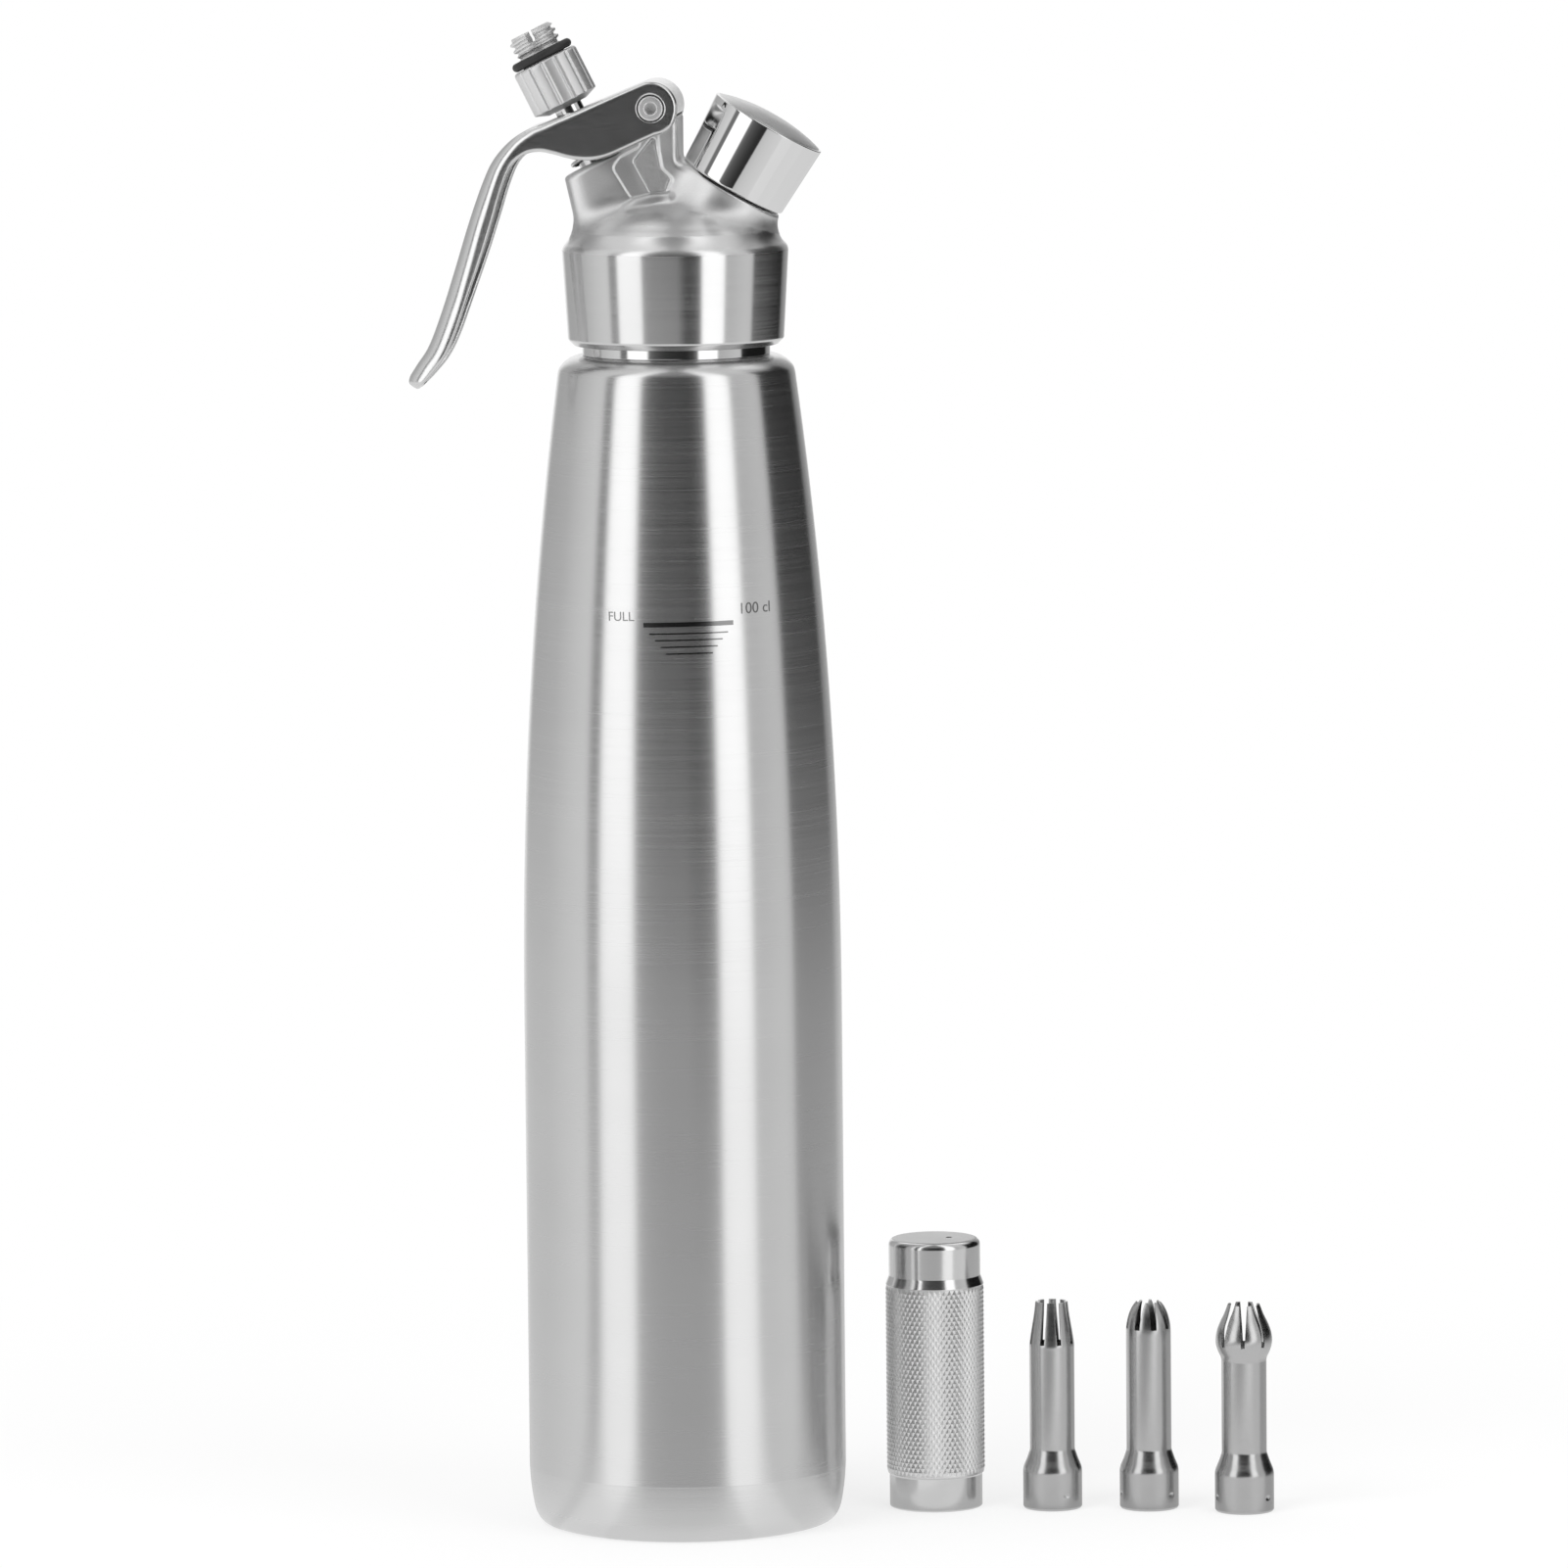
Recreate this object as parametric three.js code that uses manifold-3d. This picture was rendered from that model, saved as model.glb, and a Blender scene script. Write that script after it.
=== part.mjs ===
// Whipped cream dispenser: steel bottle, screwed head with lever valve and charger port,
// charger holder and three decorating nozzles. Millimetres, +Z up.
// The origin is the centre of the bottle's flat base.
import * as THREE from 'three';
import { mergeVertices } from 'three/addons/utils/BufferGeometryUtils.js';
import Module from 'manifold-3d';

const wasm = await Module();
wasm.setup();

// Fits shared by all pieces
const fitGap = 0.3;
const cutOverrun = 2;
const weldDistance = 0.0001;

// Bottle: drawn shell, base cup and neck
const bodyRadius = 40.1;
const bodyWall = 1.5;
const baseCornerRadius = 8;
const baseCupHeight = 14.5;
const taperStart = 130;
const taperPower = 2.1;
const shoulderRadius = 29.87;
const shoulderRise = 4.6;
const bodyTop = 296;
const neckRadius = 23.6;
const neckBore = 19.5;
const neckHeight = 22.3;
const neckBandHeight = 5;
const neckThreadDepth = 1.2;
const neckThreadPitch = 4;
const neckThreadTurns = 3;
const neckThreadRise = 7;

// Head: collar, dome, valve tower, lever post and port boss
const collarGap = 2.6;
const collarHeight = 22.9;
const collarBottomRadius = 27.15;
const collarTopRadius = 28.5;
const collarChamfer = 0.9;
const collarShoulder = 3.3;
const collarThreadGap = 0.6;
const domeRise = 8.7;
const blockThickness = 18.6;
const blockEdge = 1.2;
const reliefDepth = 0.7;
const gasketThickness = 1.7;

// Valve axis: it leans to the left, its origin is the middle of the tower's top face,
// and its rise, like the pivot's and the port's, is above the collar's top edge
const valveX = -19.8;
const valveRise = 23.1;
const valveTilt = THREE.MathUtils.degToRad(26.5);
const towerLeft = 8.2;
const towerRight = 6.9;
const springBore = 6.6;
const springBoreDepth = 12;
const bushBore = 6.1;
const bushLength = 8;
const seatBore = 5.2;
const seatDepth = 24;
const seatRadius = 8.5;
const stemRadius = 4.2;
const stemNeckRadius = 3.6;
const stemWaistRadius = 3;
const stemBore = 2;
const stemInletRadius = 1.4;
const stemSocketDepth = 8;
const stemFootRadius = 2.2;
const poppetRadius = 7.2;
const poppetThickness = 2;
const poppetSealThickness = 1.7;
const washerRadius = 6.5;
const washerThickness = 1.6;
const stemRingSection = 1.2;
const springWire = 1.1;
const springMeanRadius = 5.6;
const springTurns = 7;

// Nozzle adapter on top of the stem
const adapterLift = 1.4;
const adapterConeHeight = 1.3;
const adapterRadius = 8.55;
const adapterHeight = 11.8;
const adapterEdge = 0.7;
const fluteCount = 12;
const fluteRadius = 0.8;
const adapterRingSection = 2.2;
const adapterRingOuter = 8.15;
const spoutRoot = 5.2;
const spoutThreadDepth = 0.85;
const spoutPitch = 1.75;
const spoutTurns = 2.4;
const spoutLength = 5.6;
const spoutBore = 3.2;
const spoutSlotWidth = 1.8;

// Lever: folded channel that turns on the post
const pivotX = -4.9;
const pivotRise = 36.7;
const leverRadius = 6.9;
const leverSheet = 1.6;
const leverGapSide = 0.4;
const leverSlope = THREE.MathUtils.degToRad(22.2);
const leverWrapEnd = THREE.MathUtils.degToRad(-14);
const leverPlateLength = 22;
const leverReach = 63;
const leverDrop = 72;
const leverEdge = 0.7;
const leverTipHalf = 8.8;
const thrustRibRadius = 1.7;
const leverSlotSpare = 1.5;
const leverHoleGap = 0.8;
const postRadius = 5;
const postFace = 6.6;
const pivotHeadRadius = 3.18;
const pivotHeadThickness = 1.4;
const pivotHeadProud = 0.2;
const barrelRadius = 2.6;
const pivotThreadRadius = 1.5;
const hexSocketRadius = 1.3;
const hexSocketDepth = 0.9;

// Charger port: it leans to the right, its origin is the middle of the seat face
const portX = 14.35;
const portRise = 16;
const portTilt = THREE.MathUtils.degToRad(30);
const bossRadius = 13.6;
const bossDepth = 14;
const portSocketRadius = 8.3;
const portSocketDepth = 7.3;
const gasBore = 2.2;
const gasSeatRadius = 4.2;
const gasSeatDepth = 17;
const checkHeadRadius = 3.4;
const checkHeadThickness = 1.2;
const checkTravel = 1;
const spigotHeight = 11;
const spigotRoot = 9.6;
const spigotThreadDepth = 0.9;
const spigotPitch = 2;
const spigotTurns = 3;
const spigotRecess = 6.2;
const spigotFloor = 3;
const pinRadius = 2;
const pinTipHeight = 4.5;
const pinHole = 0.6;
const portGasketOuter = 5.9;
const portGasketThickness = 1.4;
const capBaseRadius = 13.95;
const capTopRadius = 15.05;
const capLength = 19.2;
const capCrown = 2.2;
const capEdge = 0.5;
const capSealThickness = 1.4;

// Charger holder, standing on its open end
const holderX = 61.7;
const holderY = 20.6;
const holderHeight = 69;
const holderGripRadius = 12.5;
const holderBandRadius = 11.8;
const holderTopRadius = 11.65;
const holderBandHeight = 8.5;
const holderTopHeight = 9.5;
const holderRingHeight = 2.8;
const holderEdge = 1.4;
const holderBore = 9.4;
const holderRoof = 5;
const holderMouthDepth = 12;
const holderVentRadius = 0.8;

// Decorating nozzles, each standing on its base
const nozzleHeight = 53;
const nozzleWall = 0.5;
const nozzleTubeRadius = 5.7;
const nozzleBaseRadius = 7.5;
const nozzleBaseHeight = 10.5;
const nozzleFlareHeight = 4.6;
const nozzleBulbRadius = 7.2;
const nozzleMouthRadius = 2.9;
const straightMouthRadius = 4.1;
const fingerLength = 11.5;
const fingerCount = 8;
const straightSlotWidth = 1.4;
const domeSlotWidth = 1.8;
const domeSlotTurn = THREE.MathUtils.degToRad(-5.5);
const bulbSlotWidth = 2.1;
const bulbSlotTurn = THREE.MathUtils.degToRad(22.5);
const insertWall = 0.55;
const insertLength = 8;
const straightNozzleX = 91.6;
const straightNozzleY = 18.3;
const domeNozzleX = 116.2;
const domeNozzleY = 18.7;
const bulbNozzleX = 140.6;
const bulbNozzleY = 14.5;

// Facets of round pieces
const bodySides = 32;
const pieceSides = 20;
const nozzleSides = 16;
const smallSides = 12;
const threadSteps = 12;

// Heights that stack up from the top of the body
const taperTop = bodyTop - shoulderRise;
const neckTop = bodyTop + neckHeight;
const neckThreadStart = bodyTop + neckThreadRise;
const collarBottom = bodyTop + collarGap;
const collarTop = collarBottom + collarHeight;
const valveZ = collarTop + valveRise;
const pivotZ = collarTop + pivotRise;
const portZ = collarTop + portRise;

// Closed mesh to solid and back
function outwardGeometry(geometry) {
  const bare = geometry.index ? geometry.toNonIndexed() : geometry.clone();
  bare.deleteAttribute('normal');
  bare.deleteAttribute('uv');
  const merged = mergeVertices(bare, weldDistance);
  const corner = merged.index.array;
  const place = merged.attributes.position;
  const kept = [];
  let volume = 0;
  const [a, b, c] = [new THREE.Vector3(), new THREE.Vector3(), new THREE.Vector3()];
  for (let i = 0; i < corner.length; i += 3) {
    const [p, q, r] = [corner[i], corner[i + 1], corner[i + 2]];
    if (p === q || q === r || r === p) continue;
    kept.push([p, q, r]);
    a.fromBufferAttribute(place, p);
    b.fromBufferAttribute(place, q);
    c.fromBufferAttribute(place, r);
    volume += a.dot(b.cross(c));
  }
  const faces = volume < 0 ? kept.map(([p, q, r]) => [p, r, q]) : kept;
  merged.setIndex(faces.flat());
  return merged;
}

function toSolid(geometry) {
  const closed = outwardGeometry(geometry);
  return new wasm.Manifold(new wasm.Mesh({
    numProp: 3,
    vertProperties: new Float32Array(closed.attributes.position.array),
    triVerts: new Uint32Array(closed.index.array),
  }));
}

function toGeometry(solid) {
  const mesh = solid.getMesh();
  const geometry = new THREE.BufferGeometry();
  geometry.setAttribute('position', new THREE.BufferAttribute(mesh.vertProperties, 3));
  geometry.setIndex(new THREE.BufferAttribute(mesh.triVerts, 1));
  return geometry;
}

// A body turned about Z from a list of [radius, height]
function turned(profile, sides = pieceSides) {
  const outline = profile.map(([radius, height]) => new THREE.Vector2(radius, height));
  return new THREE.LatheGeometry(outline, sides).rotateX(Math.PI / 2);
}

function disc(radius, bottom, top, sides = pieceSides) {
  return turned([[0, bottom], [radius, bottom], [radius, top], [0, top]], sides);
}

function ring(inner, outer, bottom, top, sides = pieceSides) {
  const profile = [[inner, bottom], [outer, bottom], [outer, top], [inner, top]];
  return turned([...profile, profile[0]], sides);
}

// A round ring of round section about Z
function roundRing(meanRadius, section, height, sides = pieceSides) {
  return new THREE.TorusGeometry(meanRadius, section / 2, smallSides / 2, sides).translate(0, 0, height);
}

// A plate lying in the XZ plane, its thickness centred on Y = 0
function uprightPlate(points, thickness, edge = 0) {
  const shape = new THREE.Shape(points.map(([x, z]) => new THREE.Vector2(x, z)));
  const bevelled = { bevelEnabled: true, bevelThickness: edge, bevelSize: edge, bevelOffset: -edge };
  const settings = edge > 0 ? { ...bevelled, bevelSegments: 1 } : { bevelEnabled: false };
  const depth = thickness - 2 * edge;
  const plate = new THREE.ExtrudeGeometry(shape, { depth, ...settings });
  return plate.translate(0, 0, -depth / 2).rotateX(Math.PI / 2);
}

// A plate lying in the YZ plane, its thickness centred on X = middle
function crossPlate(points, thickness, middle) {
  const shape = new THREE.Shape(points.map(([y, z]) => new THREE.Vector2(y, z)));
  const plate = new THREE.ExtrudeGeometry(shape, { depth: thickness, bevelEnabled: false });
  const turn = new THREE.Matrix4().makeBasis(
    new THREE.Vector3(0, 1, 0), new THREE.Vector3(0, 0, 1), new THREE.Vector3(1, 0, 0));
  return plate.translate(0, 0, -thickness / 2).applyMatrix4(turn).translate(middle, 0, 0);
}

// A helical ridge of trapezoid section that runs out into its core at both ends
function threadRidge(root, depth, pitch, start, turns) {
  const steps = Math.round(turns * threadSteps);
  const foot = root - depth / 2;
  const halfFoot = 0.36 * pitch;
  const halfCrest = 0.12 * pitch;
  const corners = [];
  for (let i = 0; i <= steps; i += 1) {
    const angle = (2 * Math.PI * i) / threadSteps;
    const height = start + (pitch * i) / threadSteps;
    const ends = Math.min(1, i / 3, (steps - i) / 3);
    const crest = root + depth * ends;
    const section = [[foot, -halfFoot], [crest, -halfCrest], [crest, halfCrest], [foot, halfFoot]];
    for (const [radius, rise] of section) {
      corners.push(radius * Math.cos(angle), radius * Math.sin(angle), height + rise);
    }
  }
  return sweptSkin(corners, 4, steps);
}

// The skin of a swept section: rings of equal size joined by faces, with flat end caps
function sweptSkin(corners, around, steps) {
  const faces = [];
  for (let i = 0; i < steps; i += 1) {
    for (let j = 0; j < around; j += 1) {
      const next = (j + 1) % around;
      const [a, b] = [i * around + j, i * around + next];
      const [c, d] = [a + around, b + around];
      faces.push(a, b, d, a, d, c);
    }
  }
  for (let j = 1; j < around - 1; j += 1) {
    faces.push(0, j + 1, j);
    const last = steps * around;
    faces.push(last, last + j, last + j + 1);
  }
  const geometry = new THREE.BufferGeometry();
  geometry.setAttribute('position', new THREE.BufferAttribute(new Float32Array(corners), 3));
  geometry.setIndex(faces);
  return outwardGeometry(geometry);
}

// A round wire wound about Z, as one unbroken tube
function coilTube(meanRadius, wire, bottom, top, turns) {
  const curlSteps = 8;
  const wireSides = 5;
  const steps = turns * curlSteps;
  const rise = top - bottom - wire;
  const corners = [];
  for (let i = 0; i <= steps; i += 1) {
    const angle = (2 * Math.PI * i) / curlSteps;
    const height = bottom + wire / 2 + (rise * i) / steps;
    for (let j = 0; j < wireSides; j += 1) {
      const turn = (2 * Math.PI * j) / wireSides;
      const radius = meanRadius + (wire / 2) * Math.cos(turn);
      corners.push(radius * Math.cos(angle), radius * Math.sin(angle), height + (wire / 2) * Math.sin(turn));
    }
  }
  console.log('spring gap between curls', leastCurlGap(corners, wireSides, curlSteps).toFixed(2), 'mm');
  return sweptSkin(corners, wireSides, steps);
}

// The least distance between the corners of one curl and those of the next
function leastCurlGap(corners, wireSides, curlSteps) {
  const point = (k) => new THREE.Vector3(corners[3 * k], corners[3 * k + 1], corners[3 * k + 2]);
  const perCurl = wireSides * curlSteps;
  let least = Infinity;
  for (let k = 0; k + perCurl < corners.length / 3; k += 1) {
    const ringStart = Math.floor(k / wireSides) * wireSides + perCurl;
    for (let j = 0; j < wireSides; j += 1) {
      if (3 * (ringStart + j) + 2 < corners.length) {
        least = Math.min(least, point(k).distanceTo(point(ringStart + j)));
      }
    }
  }
  return least;
}

function joined(...geometries) {
  return geometries.map(toSolid).reduce((whole, piece) => whole.add(piece));
}

function without(solid, ...cuts) {
  return cuts.map(toSolid).reduce((rest, cut) => rest.subtract(cut), solid);
}

// Adds one named piece to a group
function addPiece(group, name, shape, finish) {
  const geometry = shape.isBufferGeometry ? outwardGeometry(shape) : toGeometry(shape);
  geometry.computeVertexNormals();
  const mesh = new THREE.Mesh(geometry, new THREE.MeshStandardMaterial(finish));
  mesh.name = name;
  group.add(mesh);
  return mesh;
}

// Finishes seen in the photo
const brushedSteel = { color: 0xb4b4b4, roughness: 0.35, metalness: 1 };
const satinSteel = { color: 0xc4c4c4, roughness: 0.3, metalness: 1 };
const polishedSteel = { color: 0xd0d0d0, roughness: 0.08, metalness: 1 };
const satinAluminium = { color: 0xbdbdbd, roughness: 0.4, metalness: 1 };
const blackRubber = { color: 0x1a1a1a, roughness: 0.7, metalness: 0 };
const clearRubber = { color: 0xd8d8d4, roughness: 0.6, metalness: 0 };
const yellowBrass = { color: 0xb9974f, roughness: 0.35, metalness: 1 };

const dispenser = new THREE.Group();
const head = new THREE.Group();
const valve = new THREE.Group();
const port = new THREE.Group();
dispenser.add(head);
head.add(valve, port);
valve.position.set(valveX, 0, valveZ);
valve.rotation.y = -valveTilt;
port.position.set(portX, 0, portZ);
port.rotation.y = portTilt;
dispenser.updateMatrixWorld(true);

const onValveAxis = (geometry) => geometry.applyMatrix4(valve.matrixWorld);
const onPortAxis = (geometry) => geometry.applyMatrix4(port.matrixWorld);

// Bottle
// The wall is straight up to the taper, then draws in by a power law of the height
function taperRadius(height, radius) {
  const along = (height - taperStart) / (taperTop - taperStart);
  return radius - (bodyRadius - shoulderRadius) * along ** taperPower;
}

function bodyShell() {
  const taperSteps = 6;
  const outer = [[bodyRadius, baseCupHeight]];
  const inner = [[bodyRadius - bodyWall, baseCupHeight]];
  for (let i = 0; i <= taperSteps; i += 1) {
    const height = taperStart + ((taperTop - taperStart) * i) / taperSteps;
    outer.push([taperRadius(height, bodyRadius), height]);
    inner.push([taperRadius(height, bodyRadius - bodyWall), height]);
  }
  // The shoulder rounds over into the neck
  const draw = shoulderRadius - neckRadius;
  const rise = bodyTop - taperTop;
  const shoulderCurve = new THREE.QuadraticBezierCurve(
    new THREE.Vector2(shoulderRadius, taperTop),
    new THREE.Vector2(shoulderRadius - 0.14 * draw, taperTop + 0.6 * rise),
    new THREE.Vector2(neckRadius, bodyTop));
  for (const point of shoulderCurve.getPoints(3).slice(1)) {
    outer.push([point.x, point.y]);
  }
  inner.push([neckRadius - bodyWall + 0.5 * draw, bodyTop - bodyWall - 0.3 * rise]);
  inner.push([neckRadius - bodyWall, bodyTop]);
  return turned([...outer, ...inner.reverse(), outer[0]], bodySides);
}

function baseCup() {
  const cornerSteps = 3;
  const outer = [];
  const inner = [];
  for (let i = 0; i <= cornerSteps; i += 1) {
    const turn = (Math.PI / 2) * (i / cornerSteps);
    const [sideways, down] = [Math.sin(turn), Math.cos(turn)];
    const centre = bodyRadius - baseCornerRadius;
    const innerCorner = baseCornerRadius - bodyWall;
    outer.push([centre + baseCornerRadius * sideways, baseCornerRadius * (1 - down)]);
    inner.push([centre + innerCorner * sideways, baseCornerRadius - innerCorner * down]);
  }
  const rim = [[bodyRadius, baseCupHeight], [bodyRadius - bodyWall, baseCupHeight]];
  return turned([[0, 0], ...outer, ...rim, ...inner.reverse(), [0, bodyWall]], bodySides);
}

function neckRing() {
  const root = neckRadius - neckThreadDepth;
  const bandTop = bodyTop + neckBandHeight;
  const profile = [
    [neckBore, bodyTop], [neckRadius, bodyTop], [neckRadius, bandTop],
    [root, bandTop + neckThreadDepth], [root, neckTop], [neckBore, neckTop], [neckBore, bodyTop]];
  const ridge = threadRidge(root, neckThreadDepth, neckThreadPitch, neckThreadStart, neckThreadTurns);
  return joined(turned(profile, bodySides), ridge);
}

addPiece(dispenser, 'bottle_body', bodyShell(), brushedSteel);
addPiece(dispenser, 'base_cup', baseCup(), brushedSteel);
addPiece(dispenser, 'neck_thread_ring', neckRing(), polishedSteel);

// Head gasket between the neck rim and the ceiling of the head
const gasketBottom = neckTop + fitGap;
const headCeiling = gasketBottom + gasketThickness + fitGap;
const headBore = neckRadius + collarThreadGap;
const gasketRing = ring(neckBore, neckRadius, gasketBottom, gasketBottom + gasketThickness, bodySides);
addPiece(dispenser, 'head_gasket', gasketRing, clearRubber);

// Where the lever plate crosses the valve axis, measured along that axis from the tower's top
const plateNormal = new THREE.Vector2(-Math.sin(leverSlope), Math.cos(leverSlope));
const valveAxis = new THREE.Vector2(-Math.sin(valveTilt), Math.cos(valveTilt));
const pivotToTower = new THREE.Vector2(valveX - pivotX, valveZ - pivotZ);
const plateTop = (leverRadius - pivotToTower.dot(plateNormal)) / valveAxis.dot(plateNormal);
const plateUnder = plateTop - leverSheet;
const washerTop = plateUnder - thrustRibRadius - fitGap;
const washerBottom = washerTop - washerThickness;
const stemStep = washerBottom - fitGap;
const springTop = washerBottom - fitGap;
const springBottom = fitGap - springBoreDepth;

// Head casting
function collarBody() {
  const flank = collarTopRadius - collarShoulder;
  const flankFoot = collarTop + collarShoulder;
  const profile = [
    [0, collarBottom], [collarBottomRadius - collarChamfer, collarBottom],
    [collarBottomRadius, collarBottom + collarChamfer], [collarTopRadius, collarTop],
    [flank, flankFoot]];
  // The dome over the collar, as shares of the flank radius and of its rise
  const domeShares = [[0.92, 0.36], [0.76, 0.64], [0.52, 0.88], [0.24, 0.99], [0, 1]];
  for (const [across, up] of domeShares) {
    profile.push([flank * across, flankFoot + domeRise * up]);
  }
  return turned(profile, bodySides);
}

function arcPoints(x, z, radius, from, to, steps) {
  const points = [];
  for (let i = 0; i <= steps; i += 1) {
    const angle = from + ((to - from) * i) / steps;
    points.push([x + radius * Math.cos(angle), z + radius * Math.sin(angle)]);
  }
  return points;
}

// Side outline of tower, post and the web that runs to the port boss
function blockOutline() {
  const along = [Math.cos(valveTilt), Math.sin(valveTilt)];
  const foot = collarTop + collarShoulder * 0.6;
  const postRight = pivotX + postFace;
  const shoulder = pivotZ - postFace * 0.34;
  const seatRise = Math.tan(portTilt);
  const seatStart = postRight + postRadius * 0.25;
  return [
    [portX, foot], [portX, portZ - fitGap],
    [seatStart, portZ - fitGap + (portX - seatStart) * seatRise],
    [postRight, portZ - fitGap + (portX - postRight) * seatRise + postRadius * 0.2],
    [postRight, shoulder], [pivotX + postRadius * 0.94, shoulder],
    ...arcPoints(pivotX, pivotZ, postRadius, -Math.PI * 0.08, Math.PI * 0.9, 8),
    [valveX + towerRight * along[0], valveZ + towerRight * along[1]],
    [valveX - towerLeft * along[0], valveZ - towerLeft * along[1]],
    [valveX - towerLeft * along[0] + towerLeft * 0.26, foot]];
}

// Cast relief on both faces of the post, as shares of the post face and of the post's height
const reliefOuterShares = [
  [-0.41, -0.24], [-1.22, -0.38], [-1.42, -0.43], [-0.73, -0.64], [0.6, -0.62], [0.78, -0.5],
  [0.37, -0.43], [0.26, -0.28], [0.18, -0.21]];
const reliefInnerShares = [
  [-0.11, -0.24], [-0.7, -0.37], [-0.05, -0.58], [0.5, -0.58], [0.66, -0.5], [0.3, -0.43], [0.18, -0.28]];

function reliefCut(shares, depth, side) {
  const height = pivotZ - collarTop;
  const points = shares.map(([x, z]) => [pivotX + x * postFace, pivotZ + z * height]);
  const face = (side * blockThickness) / 2;
  return uprightPlate(points, 2 * depth).translate(0, face, 0);
}

function headCasting() {
  const block = uprightPlate(blockOutline(), blockThickness, blockEdge);
  const boss = onPortAxis(disc(bossRadius, -bossDepth, 0));
  const body = joined(collarBody(), block, boss);
  const boreCut = disc(headBore, collarBottom - cutOverrun, headCeiling, bodySides);
  const valveCut = onValveAxis(turned([
    [0, -seatDepth - bossDepth], [seatRadius, -seatDepth - bossDepth], [seatRadius, -seatDepth],
    [seatBore, -seatDepth], [seatBore, -springBoreDepth - bushLength - fitGap],
    [bushBore, -springBoreDepth - bushLength - fitGap], [bushBore, -springBoreDepth],
    [springBore, -springBoreDepth], [springBore, cutOverrun], [0, cutOverrun]]));
  const portCut = onPortAxis(turned([
    [0, -gasSeatDepth - checkHeadRadius * 2], [gasSeatRadius, -gasSeatDepth - checkHeadRadius * 2],
    [gasSeatRadius, -gasSeatDepth], [gasBore, -gasSeatDepth], [gasBore, -portSocketDepth],
    [portSocketRadius, -portSocketDepth], [portSocketRadius, cutOverrun], [0, cutOverrun]]));
  const pivotCut = acrossY(barrelRadius + fitGap, blockThickness + cutOverrun);
  const reliefCuts = [-1, 1].flatMap((side) => [
    reliefCut(reliefOuterShares, reliefDepth, side), reliefCut(reliefInnerShares, 2 * reliefDepth, side)]);
  return without(body, boreCut, valveCut, portCut, pivotCut, ...reliefCuts);
}

// A pin along Y through the lever pivot, its length centred on Y = 0
function acrossY(radius, length) {
  return new THREE.CylinderGeometry(radius, radius, length, smallSides).translate(pivotX, 0, pivotZ);
}

addPiece(head, 'head_casting', headCasting(), satinSteel);

// Valve pieces, bottom to top along the valve axis
const bushTop = -springBoreDepth - fitGap;
const bushBottom = bushTop - bushLength + fitGap;
const guideBore = stemRadius + fitGap;
const sealTop = -seatDepth - fitGap;
const sealBottom = sealTop - poppetSealThickness;
const poppetTop = sealBottom - fitGap;
const footTop = sealTop + fitGap / 2;
const footBottom = poppetTop - poppetThickness;
const adapterBottom = plateTop + adapterLift;
const adapterBodyBottom = adapterBottom + adapterConeHeight;
const adapterTop = adapterBodyBottom + adapterHeight;
const stemTop = adapterBodyBottom + stemSocketDepth;
const stemRingHeight = (bushTop + bushBottom) / 2;

function valveStem() {
  const groove = stemRingSection;
  const waistTop = bushBottom - stemRingSection;
  const inletHeight = (waistTop + footTop) / 2;
  const blank = turned([
    [0, footBottom], [stemFootRadius, footBottom], [stemFootRadius, footTop],
    [stemWaistRadius, footTop], [stemWaistRadius, waistTop],
    [stemRadius, waistTop + stemRadius - stemWaistRadius],
    [stemRadius, stemRingHeight - groove], [stemRadius - groove, stemRingHeight - groove],
    [stemRadius - groove, stemRingHeight + groove], [stemRadius, stemRingHeight + groove],
    [stemRadius, stemStep], [stemNeckRadius, stemStep],
    [stemNeckRadius, stemTop], [0, stemTop]], smallSides);
  const bore = disc(stemBore, inletHeight, stemTop + cutOverrun, smallSides);
  const inlet = new THREE.CylinderGeometry(
    stemInletRadius, stemInletRadius, 2 * stemRadius, smallSides / 2).translate(0, 0, inletHeight);
  return without(toSolid(blank), bore, inlet);
}

function stemRingPiece() {
  const inner = stemRadius - stemRingSection + fitGap / 2;
  const outer = guideBore - fitGap / 2;
  return roundRing((inner + outer) / 2, outer - inner, stemRingHeight, smallSides);
}

function nozzleAdapter() {
  const ringSeat = adapterRingOuter - adapterRingSection - fitGap;
  const spoutBottom = adapterTop + adapterRingSection + fitGap;
  const spoutTop = spoutBottom + spoutLength;
  const body = turned([
    [0, adapterBottom], [stemNeckRadius + 2 * fitGap, adapterBottom], [adapterRadius, adapterBodyBottom],
    [adapterRadius, adapterTop - adapterEdge], [adapterRadius - adapterEdge, adapterTop],
    [ringSeat, adapterTop], [ringSeat, spoutBottom], [spoutRoot, spoutBottom],
    [spoutRoot, spoutTop], [0, spoutTop]], 2 * fluteCount);
  const threadStart = spoutBottom + spoutPitch / 2;
  const thread = threadRidge(spoutRoot, spoutThreadDepth, spoutPitch, threadStart, spoutTurns);
  const socket = disc(stemNeckRadius + fitGap, adapterBottom - cutOverrun, stemTop + fitGap, smallSides);
  const bore = disc(spoutBore, stemTop, spoutTop + cutOverrun, smallSides);
  const slot = new THREE.BoxGeometry(spoutSlotWidth, 4 * spoutRoot, spoutLength).translate(0, 0, spoutTop);
  const flutes = [];
  for (let i = 0; i < fluteCount; i += 1) {
    const angle = (2 * Math.PI * i) / fluteCount;
    const flute = new THREE.CylinderGeometry(fluteRadius, fluteRadius, 2 * adapterHeight, 4);
    flute.rotateX(Math.PI / 2).translate(adapterRadius, 0, adapterTop);
    flutes.push(flute.rotateZ(angle));
  }
  return without(joined(body, thread), socket, bore, slot, ...flutes);
}

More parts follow.
